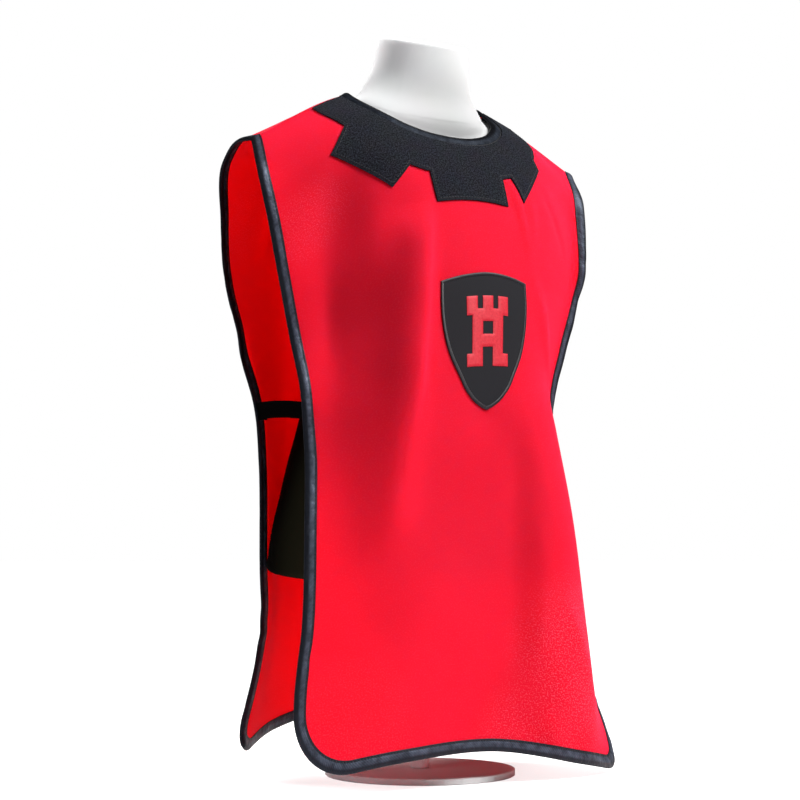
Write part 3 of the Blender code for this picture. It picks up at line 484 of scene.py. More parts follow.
def panel_grid(drape):
    """Places on the cloth of every point of a panel, row by row from the top, where the rows
    follow the neck, to the straight hem. The rows even out over the first part of the way."""
    angles = np.linspace(-math.pi / 2, math.pi / 2, NECK_COLUMNS)
    neck_across, neck_down, lean = neck_line(drape, angles)
    neck_across = neck_across + lean[:, 0] * EDGE_TUCK
    neck_down = neck_down + lean[:, 1] * EDGE_TUCK
    spread = np.linspace(0, 1, SHOULDER_COLUMNS + 1)[1:]
    top_right = half_width(drape, 0.0, -1.0) - BINDING_WIDTH
    top_left = half_width(drape, 0.0, 1.0) - BINDING_WIDTH
    right = (neck_across[0] + (-top_right - neck_across[0]) * spread)[::-1]
    left = neck_across[-1] + (top_left - neck_across[-1]) * spread
    across_top = np.concatenate([right, neck_across, left])
    down_top = np.concatenate([right * 0, neck_down, left * 0])
    even = np.linspace(-1, 1, len(across_top))
    reach = drape["length"] - drape["corner"]
    rows = []
    for part in np.linspace(0, 1, PANEL_ROWS):
        down = down_top + (reach - down_top) * part
        blend = smoothstep(min(part / SPREAD_PART, 1.0))
        inner = half_width(drape, down, even) - BINDING_WIDTH
        across = across_top * (1 - blend) + even * inner * blend
        across[0] = -inner[0]
        across[-1] = inner[-1]
        rows.append((across, down))
    for down in np.linspace(reach, drape["length"] - EDGE_TUCK, HEM_ROWS + 1)[1:]:
        down = np.full(len(even), down)
        rows.append((even * (half_width(drape, down, even) - BINDING_WIDTH), down))
    across = np.array([r[0] for r in rows])
    down = np.array([r[1] for r in rows])
    first, last = down[:, :1], down[:, -1:]
    for inset in (BINDING_WIDTH * 0.5, EDGE_TUCK):
        right_column = inset - half_width(drape, first, -1.0)
        left_column = half_width(drape, last, 1.0) - inset
        across = np.concatenate([right_column, across, left_column], axis=1)
        down = np.concatenate([first, down, last], axis=1)
    return round_corners(drape, across, down)


# Patches of painted glints on the cloth: across, down, how far round there, and how strongly.
GLINT_PATCHES = (
    (100.0, 560.0, 105.0, 1.0),
    (50.0, 640.0, 90.0, 0.8),
    (-150.0, 610.0, 95.0, 0.35),
    (-172.0, 120.0, 60.0, 0.6),
)
GLINTS_ELSEWHERE = 0.16


def lumps(size_mm):
    """Scale of a noise texture whose lumps are of this size."""
    return 1.0 / (size_mm * MM)


def bands(pitch_mm):
    """Scale of a wave texture whose bands are this far apart: at scale 1 they are 2 pi / 20."""
    return 2 * math.pi / (pitch_mm * MM) / 20.0


def woven_red(name, deep, bright):
    """Bright red plain-woven polyester: matte, with a fine even grain and painted glints, small pale pink
    specks that are also raised a little, most of them in the listed patches. Its threads are 0.4 mm apart
    and are drawn at 1 mm to show, and a glint speck at 1.4 mm."""
    made, tree, shader = new_material(name)
    places = add_node(tree, "UVMap", {"uv_map": "cloth"}).outputs["UV"]
    warp, weft = [add_node(tree, "TexWave", {"bands_direction": way}, {
        "Vector": places, "Scale": bands(1.0), "Distortion": 0.6, "Detail": 1.0,
        "Detail Scale": 0.4}).outputs["Fac"] for way in "XY"]
    grain = add_node(tree, "Math", {"operation": "MULTIPLY"}, {0: warp, 1: weft})
    crepe = add_node(tree, "TexNoise", None, {
        "Vector": places, "Scale": lumps(1.4), "Detail": 1.0, "Roughness": 0.5})
    glint_specks = add_node(tree, "MapRange", None, {
        "Value": crepe.outputs["Fac"], "From Min": 0.5, "From Max": 0.68})
    glint_share = GLINTS_ELSEWHERE
    for across, down, breadth, strength in GLINT_PATCHES:
        there = add_node(tree, "VectorMath", {"operation": "DISTANCE"}, {
            0: places, 1: (across * MM, down * MM, 0.0)})
        near = add_node(tree, "MapRange", {"interpolation_type": "SMOOTHSTEP"}, {
            "Value": there.outputs["Value"], "From Min": 0.4 * breadth * MM, "From Max": breadth * MM,
            "To Min": strength, "To Max": 0.0})
        glint_share = add_node(tree, "Math", {"operation": "MAXIMUM"}, {
            0: glint_share, 1: near.outputs["Result"]}).outputs[0]
    painted_glints = add_node(tree, "Math", {"operation": "MULTIPLY"}, {0: glint_specks.outputs["Result"], 1: glint_share})
    cloudy = add_node(tree, "TexNoise", None, {"Vector": places, "Scale": lumps(71.4), "Detail": 3.0})
    tone = add_node(tree, "Mix", {"data_type": "RGBA"}, {
        "Factor": cloudy.outputs["Fac"], "A": linear(deep), "B": linear(bright)})
    threads = add_node(tree, "Mix", {"data_type": "RGBA", "blend_type": "MULTIPLY"}, {
        "Factor": 0.1, "A": tone.outputs["Result"], "B": grain.outputs[0]})
    colour = add_node(tree, "Mix", {"data_type": "RGBA"}, {
        # Painted glints: pale pink specks mixed into the red.
        "Factor": painted_glints.outputs[0], "A": threads.outputs["Result"], "B": linear("FF4A60")})
    rough = add_node(tree, "Math", {"operation": "MULTIPLY_ADD"}, {
        0: crepe.outputs["Fac"], 1: 0.2, 2: 0.65})
    relief = add_node(tree, "Math", {"operation": "MULTIPLY_ADD"}, {
        0: painted_glints.outputs[0], 1: 1.6, 2: grain.outputs[0]})
    bump = add_node(tree, "Bump", None, {
        "Height": relief.outputs[0], "Strength": 0.35, "Distance": 0.0003})
    set_inputs(tree, shader, {
        "Base Color": colour.outputs["Result"], "Roughness": rough.outputs[0],
        "Normal": bump.outputs["Normal"], "Specular IOR Level": 0.02,
        "Subsurface Weight": 1.0, "Subsurface Radius": (4.0, 0.8, 0.7), "Subsurface Scale": MM,
        "Sheen Weight": 0.02, "Sheen Roughness": 0.45, "Sheen Tint": linear("FF4058")})
    return made


def make_panel(name, drape, material):
    """A panel of cloth with its inner face, as one closed sheet."""
    return laid_piece(name, drape, *panel_grid(drape), 0.0, -CLOTH_WALL, material, "red_cloth")


red_cloth = woven_red("woven red polyester", "FA122C", "FF1834")
front_drape = make_drape(
    FRONT_ROWS, FRONT_FOLDS, FRONT_DENTS, -1.0, FRONT_NECK_DROP, FRONT_CORNER_RADIUS)
front_cloth = make_panel("front_cloth", front_drape, red_cloth)
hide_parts("front_panel")

# Back cloth
# The back is a second piece of the same red polyester, higher at the neck. Inside the open
# sides its inner face shows. It hangs in longer and flatter folds than the front.
BACK_NECK_DROP = 40.0
BACK_CORNER_RADIUS = 40.0
BACK_ROWS = (
    (0, 191, 193, 641, 621, 616, 573, 573, 0, 0, 0, 0, 0),
    (18, 197, 197, 635, 613, 609, 572, 572, 16, 19, 19, 17, 17),
    (44, 200, 198, 624, 594, 592, 555, 555, 40, 46, 46, 35, 35),
    (100, 196, 197, 572, 552, 552, 500, 500, 72, 72, 72, 44, 42),
    (170, 193, 193, 506, 488, 488, 445, 445, 92, 86, 86, 41, 40),
    (250, 174.5, 179, 427, 412, 412, 380, 380, 102, 90, 90, 38, 38),
    (310, 162, 158, 367, 358, 358, 332, 332, 105, 90, 90, 34, 33),
    (370, 157, 154, 308, 303, 303, 282, 282, 108, 90, 90, 34, 33),
    (470, 151.5, 158, 208, 201, 198, 183, 179, 113, 97, 97, 39, 38),
    (520, 148.5, 160, 158, 150, 146, 134, 128, 116, 100, 100, 42, 42),
    (640, 173, 172, 40, 27, 22, 6, 2, 122, 112, 108, 52, 54),
)
BACK_FOLDS = (
    (-198, 215, -174, 560, 11, 11, 7, 7),
    (-170, 500, -217, 720, 11, 12, 7, 6),
    (-70, 120, -90, 420, 18, 26, -7, -6),
    (60, 110, 84, 400, 18, 26, -8, -6),
    (-16, 200, 10, 640, 22, 32, 4, 5),
    (-110, 380, -120, 640, 20, 26, 5, 7),
    (112, 360, 122, 640, 20, 26, 5, 7),
    (-38, 90, -52, 300, 10, 15, 3, 3),
    (30, 100, 40, 280, 9, 14, 3, 3),
    (-52, 430, -62, 640, 16, 20, -5, -6),
    (58, 420, 66, 640, 16, 20, -5, -5),
    (104, 90, 140, 200, 12, 16, -5, -4),
    (-108, 96, -146, 200, 12, 16, -5, -4),
)
BACK_DENTS = (
    (-176, 532, 14, 8, -2.5),
    (-150, 560, 20, 16, 1.5),
    (30, 600, 18, 20, -1.5),
    (92, 590, 16, 22, 1.5),
)
back_drape = make_drape(BACK_ROWS, BACK_FOLDS, BACK_DENTS, 1.0, BACK_NECK_DROP, BACK_CORNER_RADIUS)
# The back's copy of the red is a little less pure: painted shade tone for its inner face, which shows only
# in shade.
back_red = woven_red("woven red polyester of the back", "FA1C2C", "FF2434")
back_cloth = make_panel("back_cloth", back_drape, back_red)
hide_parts("back_panel")

# Edge binding
# One long strip of black satin bias binding is folded over the raw edge all round: down both
# sides, along both hems and over both shoulder seams. It is cut on the bias, so its twill lines
# slant, and it puckers slightly where the machine stitched it.
BINDING_WALL = 1.1
BINDING_STEP = 4.0
SIDE_POINTS = 320
HEM_POINTS = 200
STRIP_WIDTH = 20.0
# Each pucker's place along the strip from a shoulder, its breadth and its depth.
EDGE_PUCKERS = (
    (118, 4, -0.6), (166, 5, -0.5), (206, 4, -0.7), (262, 5, -0.6), (298, 4, -0.7), (334, 5, -0.6),
    (388, 5, -0.6), (421, 4, -0.9), (427, 3, -0.6), (470, 5, -0.7), (512, 4, -0.5), (566, 5, -0.6),
    (602, 4, -0.5),
)


def satin(name, shaded, lit_side, gloss):
    """Black polyester satin: a close twill, with a painted blue-grey highlight along the middle of each face
    of the folded strip, broken up by the small rumples 9 mm apart; near the fold and the sewn edge it stays
    dark. Its slanting lines are 0.5 mm apart and are drawn at 1.3 mm to show."""
    made, tree, shader = new_material(name)
    places = add_node(tree, "UVMap", {"uv_map": "cloth"}).outputs["UV"]
    twill = add_node(tree, "TexWave", {"bands_direction": "DIAGONAL"}, {
        "Vector": places, "Scale": bands(1.3), "Distortion": 0.8, "Detail": 1.0})
    rumple = add_node(tree, "TexNoise", None, {
        "Vector": places, "Scale": lumps(9.09), "Detail": 3.0, "Roughness": 0.6})
    shine = add_node(tree, "MapRange", None, {
        "Value": rumple.outputs["Fac"], "From Min": 0.36, "From Max": 0.68})
    over = add_node(tree, "SeparateXYZ", None, {"Vector": places})
    from_fold = add_node(tree, "Math", {"operation": "PINGPONG"}, {
        0: over.outputs["X"], 1: STRIP_WIDTH / 2 * MM})
    opening = add_node(tree, "MapRange", {"interpolation_type": "SMOOTHSTEP"}, {
        "Value": from_fold.outputs[0], "From Min": 2.4 * MM, "From Max": 5.2 * MM})
    closing = add_node(tree, "MapRange", {"interpolation_type": "SMOOTHSTEP"}, {
        "Value": from_fold.outputs[0], "From Min": 7.9 * MM, "From Max": 9.0 * MM,
        "To Min": 1.0, "To Max": 0.0})
    streak = add_node(tree, "Math", {"operation": "MULTIPLY"}, {
        0: opening.outputs["Result"], 1: closing.outputs["Result"]})
    uneven = add_node(tree, "Math", {"operation": "MULTIPLY_ADD"}, {
        0: shine.outputs["Result"], 1: 0.75, 2: 0.25})
    painted_streak_highlight = add_node(tree, "Math", {"operation": "MULTIPLY"}, {
        0: streak.outputs[0], 1: uneven.outputs[0]})
    # Painted highlight: the blue-grey streak mixed over the dark satin.
    colour = add_node(tree, "Mix", {"data_type": "RGBA"}, {
        "Factor": painted_streak_highlight.outputs[0], "A": linear(shaded), "B": linear(lit_side)})
    lines = add_node(tree, "Mix", {"data_type": "RGBA", "blend_type": "MULTIPLY"}, {
        "Factor": 0.35, "A": colour.outputs["Result"], "B": twill.outputs["Color"]})
    rough = add_node(tree, "MapRange", None, {
        "Value": rumple.outputs["Fac"], "From Min": 0.3, "From Max": 0.75,
        "To Min": 0.58, "To Max": 0.36})
    fine = add_node(tree, "Bump", None, {
        "Height": twill.outputs["Fac"], "Strength": 0.3, "Distance": 0.0002})
    bump = add_node(tree, "Bump", None, {
        "Height": rumple.outputs["Fac"], "Strength": 0.9, "Distance": 0.0014,
        "Normal": fine.outputs["Normal"]})
    set_inputs(tree, shader, {
        "Base Color": lines.outputs["Result"], "Roughness": rough.outputs["Result"],
        "Normal": bump.outputs["Normal"], "Specular IOR Level": gloss,
        "Specular Tint": linear("C8D8F4")})
    return made


def evenly(line, spacing):
    """Points at an even spacing along a line of places, with the way and how far along it."""
    length = length_along(line)
    at = np.linspace(0, length[-1], max(2, int(round(length[-1] / spacing)) + 1))
    points = np.stack([np.interp(at, length, line[:, k]) for k in (0, 1)], -1)
    return points, unit(np.gradient(points, at, axis=0)), at


def edge_line(drape):
    """Places of the outer edge from the right shoulder down, along the hem and up again, with
    the way in from each and how far along it is."""
    down = np.linspace(0, drape["length"], SIDE_POINTS)
    right = np.stack([-half_width(drape, down, -1.0), down], -1)
    left = np.stack([half_width(drape, down, 1.0), down], -1)
    hem_across = np.linspace(right[-1, 0], left[-1, 0], HEM_POINTS)
    hem = np.stack([hem_across, np.full(HEM_POINTS, drape["length"])], -1)
    line = np.concatenate([right, hem[1:-1], left[::-1]])
    across, down = round_corners(drape, line[:, 0], line[:, 1])
    edge, along, at = evenly(np.stack([across, down], -1), BINDING_STEP)
    inward = np.stack([along[:, 1], -along[:, 0]], -1)
    inward[0] = (1.0, 0.0)
    inward[-1] = (-1.0, 0.0)
    return edge, inward, at


def puckers(table, length):
    """Small dents along a binding, at the same places from each shoulder, and a slight ripple."""
    from_end = np.minimum(length, length[-1] - length)
    total = np.zeros(len(length))
    for place, breadth, depth in table:
        total += depth * np.exp(-((from_end - place) / breadth) ** 2)
    return total + 0.16 * np.sin(length / 7.3) + 0.12 * np.sin(length / 3.9 + 1.3)


def binding_sections(drape, edge, inward, dents):
    """Folded strip of binding: one section over the edge of the cloth at every place. A point of
    its profile has a distance in from the edge, a height above the cloth and a share of the
    puckers' dents."""
    back_face = -CLOTH_WALL
    width = BINDING_WIDTH
    rise = BINDING_WALL
    profile = (
        (width, 0.12, 0.0), (width + 0.12, 0.45 * rise, 0.0), (width - 0.35, 0.7 * rise, 0.0),
        (width - 1.3, 0.5 * rise, 0.0), (width - 2.3, 0.85 * rise, 0.4), (0.62 * width, 1.25 * rise, 0.9),
        (0.46 * width, 1.5 * rise, 1.0), (0.30 * width, 1.42 * rise, 1.0), (1.5, 1.1 * rise, 0.7),
        (0.3, 0.7 * rise, 0.4), (-0.45, 0.1, 0.2), (-0.65, back_face / 2, 0.1),
    )
    inner = [(distance, back_face - height, -dented) for distance, height, dented in profile[-2::-1]]
    lining = [(width, back_face - 0.1, 0.0), (0.5, back_face - 0.1, 0.0), (0.5, 0.1, 0.0)]
    beyond_normal = cloth_normal(drape, edge[:, 0], edge[:, 1])
    at_edge = cloth_point(drape, edge[:, 0], edge[:, 1])
    near = edge + inward * 2.0
    out = unit(at_edge - cloth_point(drape, near[:, 0], near[:, 1]))
    columns = []
    widths = []
    for distance, height, dented in [*profile, *inner, *lining]:
        lift = height + dents * dented
        if distance > 0:
            place = edge + inward * distance
            columns.append(at_height(drape, place[:, 0], place[:, 1], lift))
        else:
            columns.append(at_edge - out * distance + beyond_normal * lift[:, None])
        widths.append(distance if height > back_face / 2 else STRIP_WIDTH - distance)
    return np.stack(columns, axis=1), np.array(widths)


def ring_piece(name, sections, widths, along, material):
    """A closed ring through sections, with the way round one and the way along as its UV map."""
    count, around = sections.shape[:2]
    faces = []
    for r in range(count):
        for c in range(around):
            after = (c + 1) % around
            below = (r + 1) % count
            faces.append((r * around + c, r * around + after, below * around + after, below * around + c))
    places = np.stack(np.broadcast_arrays(widths[None, :], along[:, None]), -1).reshape(-1, 2)
    return make_piece(name, sections.reshape(-1, 3), faces, places, material, 80.0)


def make_binding(name, halves, material):
    """One closed strip from its front and back sections."""
    (front_sections, widths, front_at), (back_sections, _, back_at) = halves
    for end in (0, -1):
        front_sections[end, :, 1] = 0.0
    sections = np.concatenate([front_sections, back_sections[1:-1][::-1]])
    along = np.concatenate([front_at, front_at[-1] + (back_at[-1] - back_at[1:-1][::-1])])
    return ring_piece(name, sections, widths, along, material)


edge_halves = []
for drape in (front_drape, back_drape):
    edge, inward, at = edge_line(drape)
    sections, widths = binding_sections(drape, edge, inward, puckers(EDGE_PUCKERS, at))
    edge_halves.append((sections, widths, at))
# The second colour is the painted highlight along the middle of the strip.
edge_satin = satin("black satin edge binding", "0A070C", "484D5C", 0.4)
edge_strip = make_binding("edge_binding_strip", edge_halves, edge_satin)
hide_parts("edge_binding")

# Neck binding
# A shorter strip of the same satin is folded over the raw edge of the neck. At the front it also
# covers the collar's edge, and one row of stitches holds it all.
NECK_PUCKERS = ((24, 5, -0.3), (63, 6, -0.3), (97, 5, -0.4))
NECK_PUCKER_PART = 0.6
NECK_SECTIONS = 73
neck_halves = []
for drape in (front_drape, back_drape):
    across, down, lean = neck_line(drape, np.linspace(-math.pi / 2, math.pi / 2, NECK_SECTIONS))
    edge = np.stack([across, down], -1)
    at = length_along(edge)
    dents = puckers(NECK_PUCKERS, at) * NECK_PUCKER_PART
    sections, widths = binding_sections(drape, edge, lean, dents)
    neck_halves.append((sections, widths, at))
# The second colour is the painted highlight along the middle of the strip.
neck_satin = satin("black satin neck binding", "050508", "242932", 0.08)
neck_strip = make_binding("neck_binding_strip", neck_halves, neck_satin)
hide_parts("neck_binding")

# Collar
# The crenellated collar is cut from stiff black felt and laid on the front only, below the neck
# binding. Its three merlons have square raw edges, stitched 3 mm inside them.
COLLAR_CRENEL_DEPTH = 47.0
COLLAR_START = math.radians(-88.4)
COLLAR_GAP = 0.25
FELT_WALL = 1.3
MERLON_COLUMNS = 22
GAP_COLUMNS = 9
BAND_ROWS = 10
MERLON_ROWS = 7
# Each merlon's angle round the neck, how far its sides lie from its middle at the band and at its
# end, and how deep its lower corners lie.
MERLON_NAMES = ("degrees", "band_right", "band_left", "end_right", "end_left", "deep_right", "deep_left")
MERLONS = (
    (-52.5, -37, 41, -38, 41, 75, 68),
    (0.0, -47, 40, -42, 39, 70, 69),
    (45.0, -38, 27, -48, 22, 64, 54),
)


def felt():
    """Pressed black felt: quite matte, with short fibres that catch a little grey light. The
    fibres are 0.05 mm thick and lie in tufts, which are drawn about 1.5 mm across to show."""
    made, tree, shader = new_material("pressed black felt")
    places = add_node(tree, "UVMap", {"uv_map": "cloth"}).outputs["UV"]
    tufts = add_node(tree, "TexNoise", None, {
        "Vector": places, "Scale": lumps(1.5625), "Detail": 3.0, "Roughness": 0.75})
    clouds = add_node(tree, "TexNoise", None, {"Vector": places, "Scale": lumps(16.67), "Detail": 3.0})
    fibres = add_node(tree, "MapRange", None, {
        "Value": tufts.outputs["Fac"], "From Min": 0.4, "From Max": 0.64})
    nap = add_node(tree, "Mix", {"data_type": "RGBA"}, {
        "Factor": fibres.outputs["Result"], "A": linear("040406"), "B": linear("2E3038")})
    colour = add_node(tree, "Mix", {"data_type": "RGBA", "blend_type": "MULTIPLY"}, {
        "Factor": 0.35, "A": nap.outputs["Result"], "B": clouds.outputs["Color"]})
    bump = add_node(tree, "Bump", None, {
        "Height": tufts.outputs["Fac"], "Strength": 0.9, "Distance": 0.0006})
    set_inputs(tree, shader, {
        "Base Color": colour.outputs["Result"], "Roughness": 0.92,
        "Normal": bump.outputs["Normal"], "Specular IOR Level": 0.05,
        "Sheen Weight": 0.06, "Sheen Roughness": 0.6, "Sheen Tint": linear("9A9CA8")})
    return made


def merlon_frame(degrees):
    """Middle of a merlon at the neck's edge, the way outwards from there and the way across."""
    across, down, lean = neck_line(front_drape, np.array([math.radians(degrees)]))
    return np.array([across[0], down[0]]), lean[0], np.array([lean[0, 1], -lean[0, 0]])


def collar_columns():
    """Angles round the neck of every column of the collar, and the merlon each is in."""
    fine = np.radians(np.linspace(-90, 90, 1441))
    across, down, lean = neck_line(front_drape, fine)
    curve = np.stack([across, down], -1) + lean * COLLAR_CRENEL_DEPTH
    columns = []
    ends = [COLLAR_START]
    for number, row in enumerate(MERLONS):
        merlon = dict(zip(MERLON_NAMES, row))
        start, _, sideways = merlon_frame(merlon["degrees"])
        offset = (curve - start) @ sideways
        near = np.abs(fine - math.radians(merlon["degrees"])) < math.radians(45)
        parts = np.linspace(0, 1, MERLON_COLUMNS)
        places = merlon["band_right"] + (merlon["band_left"] - merlon["band_right"]) * parts
        inside = np.interp(places, offset[near], fine[near])
        columns += [(float(a), number, float(part)) for a, part in zip(inside, parts)]
        ends += [float(inside[0]), float(inside[-1])]
    ends.append(math.pi / 2)
    for low_end, high_end in zip(ends[0::2], ends[1::2]):
        between = np.linspace(low_end, high_end, GAP_COLUMNS)
        first = between[0:1] if low_end == COLLAR_START else between[:0]
        last = between[-1:] if high_end == math.pi / 2 else between[:0]
        columns += [(float(a), None, 0.0) for a in (*first, *between[1:-1], *last)]
    return sorted(columns)


collar_parts = collar_columns()
band_depths = np.linspace(BINDING_WIDTH - 0.4, COLLAR_CRENEL_DEPTH, BAND_ROWS)
merlon_parts = np.linspace(0, 1, MERLON_ROWS + 1)[1:]
collar_places = np.zeros((BAND_ROWS + MERLON_ROWS, len(collar_parts), 2))
for c, (angle, number, part_across) in enumerate(collar_parts):
    across, down, lean = neck_line(front_drape, np.array([angle]))
    for r, depth in enumerate(band_depths):
        collar_places[r, c] = np.array([across[0], down[0]]) + lean[0] * depth
    edge = collar_places[BAND_ROWS - 1, c].copy()
    collar_places[BAND_ROWS:, c] = edge
    if number is not None:
        merlon = dict(zip(MERLON_NAMES, MERLONS[number]))
        start, lean, sideways = merlon_frame(merlon["degrees"])
        end_across = merlon["end_right"] + (merlon["end_left"] - merlon["end_right"]) * part_across
        end_deep = merlon["deep_right"] + (merlon["deep_left"] - merlon["deep_right"]) * part_across
        end = start + lean * end_deep + sideways * end_across
        for r, part in enumerate(merlon_parts):
            collar_places[BAND_ROWS + r, c] = edge + (end - edge) * part
collar_cells = np.ones((collar_places.shape[0] - 1, len(collar_parts) - 1), bool)
for c in range(len(collar_parts) - 1):
    number = collar_parts[c][1]
    collar_cells[BAND_ROWS - 1:, c] = number is not None and number == collar_parts[c + 1][1]
collar_felt = laid_piece(
    "collar_felt", front_drape, collar_places[..., 0], collar_places[..., 1],
    COLLAR_GAP + FELT_WALL, COLLAR_GAP, felt(), "collar_felt", collar_cells)
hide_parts("collar")

# Shield
# A shield-shaped patch of black cotton twill is sewn on the chest. A raised border of black satin
# stitch covers its raw edge.
SHIELD_TOP = 212.0
SHIELD_MIDDLE = 1.0
SHIELD_HEIGHT = 128.0
SHIELD_TILT_DEGREES = 2.5
SHIELD_CORNER_DROP = 4.0
SHIELD_GAP = 0.25
SHIELD_WALL = 0.8
BORDER_WIDTH = 3.2
BORDER_RISE = 0.75
BORDER_OVERHANG = 0.3
BORDER_SUNK = 0.1
# Parts of the shield's height, with its half widths there.
SHIELD_ROWS = (
    (0.00, 50.0),
    (0.20, 50.8),
    (0.40, 48.5),
    (0.58, 42.5),
    (0.74, 32.5),
    (0.87, 23.0),
    (0.96, 11.0),
    (1.00, 1.6),
)


def shield_places(x, y):
    """Places on the cloth of points of the shield, which hangs slightly turned."""
    turn = math.radians(SHIELD_TILT_DEGREES)
    across = SHIELD_MIDDLE + x * math.cos(turn) - y * math.sin(turn)
    down = SHIELD_TOP - x * math.sin(turn) + y * math.cos(turn)
    return across, down


def shield_half(parts):
    """Half widths of the shield at the given parts of its height."""
    rows = np.array(SHIELD_ROWS)
    return smooth_curve(rows[:, 0], rows[:, 1], parts)


def corner_drop(even, part):
    """How far the hollow top edge lifts the shield's corners, at parts of its width and height."""
    return SHIELD_CORNER_DROP * np.abs(even) ** 1.6 * (1 - part) ** 4


def cotton_twill():
    """Black cotton twill: matte, with steep fine lines 0.6 mm apart, drawn at 1.1 mm to show."""
    made, tree, shader = new_material("black cotton twill")
    places = add_node(tree, "UVMap", {"uv_map": "cloth"}).outputs["UV"]
    turned = add_node(tree, "Mapping", None, {"Vector": places, "Rotation": (0, 0, math.radians(62.0))})
    lines = add_node(tree, "TexWave", {"bands_direction": "X"}, {
        "Vector": turned.outputs["Vector"], "Scale": bands(1.1), "Distortion": 0.7, "Detail": 1.0})
    dust = add_node(tree, "TexNoise", None, {"Vector": places, "Scale": lumps(1.43), "Detail": 3.0})
    colour = add_node(tree, "Mix", {"data_type": "RGBA"}, {
        "Factor": lines.outputs["Fac"], "A": linear("17161A"), "B": linear("212025")})
    tone = add_node(tree, "Mix", {"data_type": "RGBA", "blend_type": "MULTIPLY"}, {
        "Factor": 0.3, "A": colour.outputs["Result"], "B": dust.outputs["Color"]})
    bump = add_node(tree, "Bump", None, {
        "Height": lines.outputs["Fac"], "Strength": 0.35, "Distance": 0.0002})
    set_inputs(tree, shader, {
        "Base Color": tone.outputs["Result"], "Roughness": 0.85,
        "Normal": bump.outputs["Normal"], "Specular IOR Level": 0.2})
    return made


def thread(name, dark, light, roughness, pitch_mm):
    """Rayon embroidery thread in close satin stitch: fine glossy lines side by side. Real ones
    are 0.4 mm apart and are drawn a little coarser to show."""
    made, tree, shader = new_material(name)
    places = add_node(tree, "UVMap", {"uv_map": "cloth"}).outputs["UV"]
    lines = add_node(tree, "TexWave", {"bands_direction": "Y"}, {
        "Vector": places, "Scale": bands(pitch_mm), "Distortion": 0.9, "Detail": 2.0, "Detail Scale": 2.0})
    uneven = add_node(tree, "TexNoise", None, {"Vector": places, "Scale": lumps(2.38), "Detail": 2.0})
    mixed = add_node(tree, "Math", {"operation": "MULTIPLY"}, {
        0: lines.outputs["Fac"], 1: uneven.outputs["Fac"]})
    colour = add_node(tree, "Mix", {"data_type": "RGBA"}, {
        "Factor": mixed.outputs[0], "A": linear(dark), "B": linear(light)})
    bump = add_node(tree, "Bump", None, {"Height": mixed.outputs[0], "Strength": 0.5, "Distance": 0.0004})
    set_inputs(tree, shader, {
        "Base Color": colour.outputs["Result"], "Roughness": roughness,
        "Normal": bump.outputs["Normal"], "Specular IOR Level": 0.3})
    return made


shield_parts = np.concatenate([np.linspace(0, 0.9, 26), np.linspace(0.9, 1.0, 9)[1:]])
even = np.linspace(-1, 1, 25)
x = shield_half(shield_parts)[:, None] * even
y = (shield_parts * SHIELD_HEIGHT)[:, None] + corner_drop(even, shield_parts[:, None])
on_shield = SHIELD_GAP + SHIELD_WALL
shield_cloth = laid_piece(
    "shield_cloth", front_drape, *shield_places(x, y), on_shield, SHIELD_GAP, cotton_twill(), "shield_cloth")
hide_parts("shield_patch")


def mitre(line, closed, least):
    """At each point of a line, the way to the left of it, longer where the line turns."""
    after = np.roll(line, -1, axis=0) - line
    before = line - np.roll(line, 1, axis=0)
    if not closed:
        after[-1] = before[-1]
        before[0] = after[0]
    after = unit(after)
    mean = unit(after + unit(before))
    straight = np.maximum(np.sum(mean * after, axis=1), least)
    return np.stack([mean[:, 1], -mean[:, 0]], -1) / straight[:, None]


parts = np.linspace(0.0, 0.985, 60)
half = shield_half(parts)
right_side = np.stack([-half, parts * SHIELD_HEIGHT + corner_drop(1.0, parts)], -1)
top_across = np.linspace(-1, 1, 31)[1:-1]
top_side = np.stack([half[0] * top_across, corner_drop(top_across, 0.0)], -1)
tip = np.array([[0.0, SHIELD_HEIGHT]])
outline = np.concatenate([right_side[::-1], top_side, right_side * (-1, 1), tip])
outward = mitre(outline, True, 0.6)
border_profile = []
for turn in np.linspace(0, math.pi, 9):
    distance = BORDER_WIDTH / 2 * (1 - math.cos(turn)) - BORDER_OVERHANG
    border_profile.append((distance, on_shield - BORDER_SUNK + BORDER_RISE * math.sin(turn) ** 0.7))
border_profile += [(BORDER_WIDTH - BORDER_OVERHANG, SHIELD_GAP), (-BORDER_OVERHANG, SHIELD_GAP)]
sections = []
for distance, height in border_profile:
    across, down = shield_places(*(outline - outward * distance).T)
    sections.append(at_height(front_drape, across, down, height))
shield_border = ring_piece(
    "shield_border", np.stack(sections, axis=1), np.array([p[0] for p in border_profile]),
    length_along(outline), thread("black border thread", "0E0C10", "3A3840", 0.38, 1.0))
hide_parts("shield_rim")

# Tower
# In the middle of the shield a battlemented tower is embroidered in red thread, padded so that
# it stands up from the cloth. Its fill runs in short level stitches.
TOWER_CELL = 6.0
TOWER_DROP = 22.0
TOWER_RISE = 0.95
TOWER_TOP = 0.05
TOWER_BOTTOM = 0.02
# The fill rises by these parts of TOWER_RISE: at its edge, one split cell in, and further in.
TOWER_PADDING = (0.35, 0.85, 1.0)
TOWER_PLAN = (
    "XX.XX.XX",
    "XX.XX.XX",
    "XXXXXXXX",
    ".XXXXXX.",
    ".XX..XX.",
    ".XX..XX.",
    ".XXXXXX.",
    ".XXXXXX.",
    ".XX..XX.",
    "XXX..XXX",
    "XXX..XXX",
)
TOWER_SPLIT = 5
plan = np.array([[letter == "X" for letter in line] for line in TOWER_PLAN])
tower_cells = np.repeat(np.repeat(plan, TOWER_SPLIT, axis=0), TOWER_SPLIT, axis=1)
rows, columns = tower_cells.shape
x = (np.arange(columns + 1) - columns / 2) * TOWER_CELL / TOWER_SPLIT
y = TOWER_DROP + np.arange(rows + 1) * TOWER_CELL / TOWER_SPLIT
x, y = np.meshgrid(x, y)
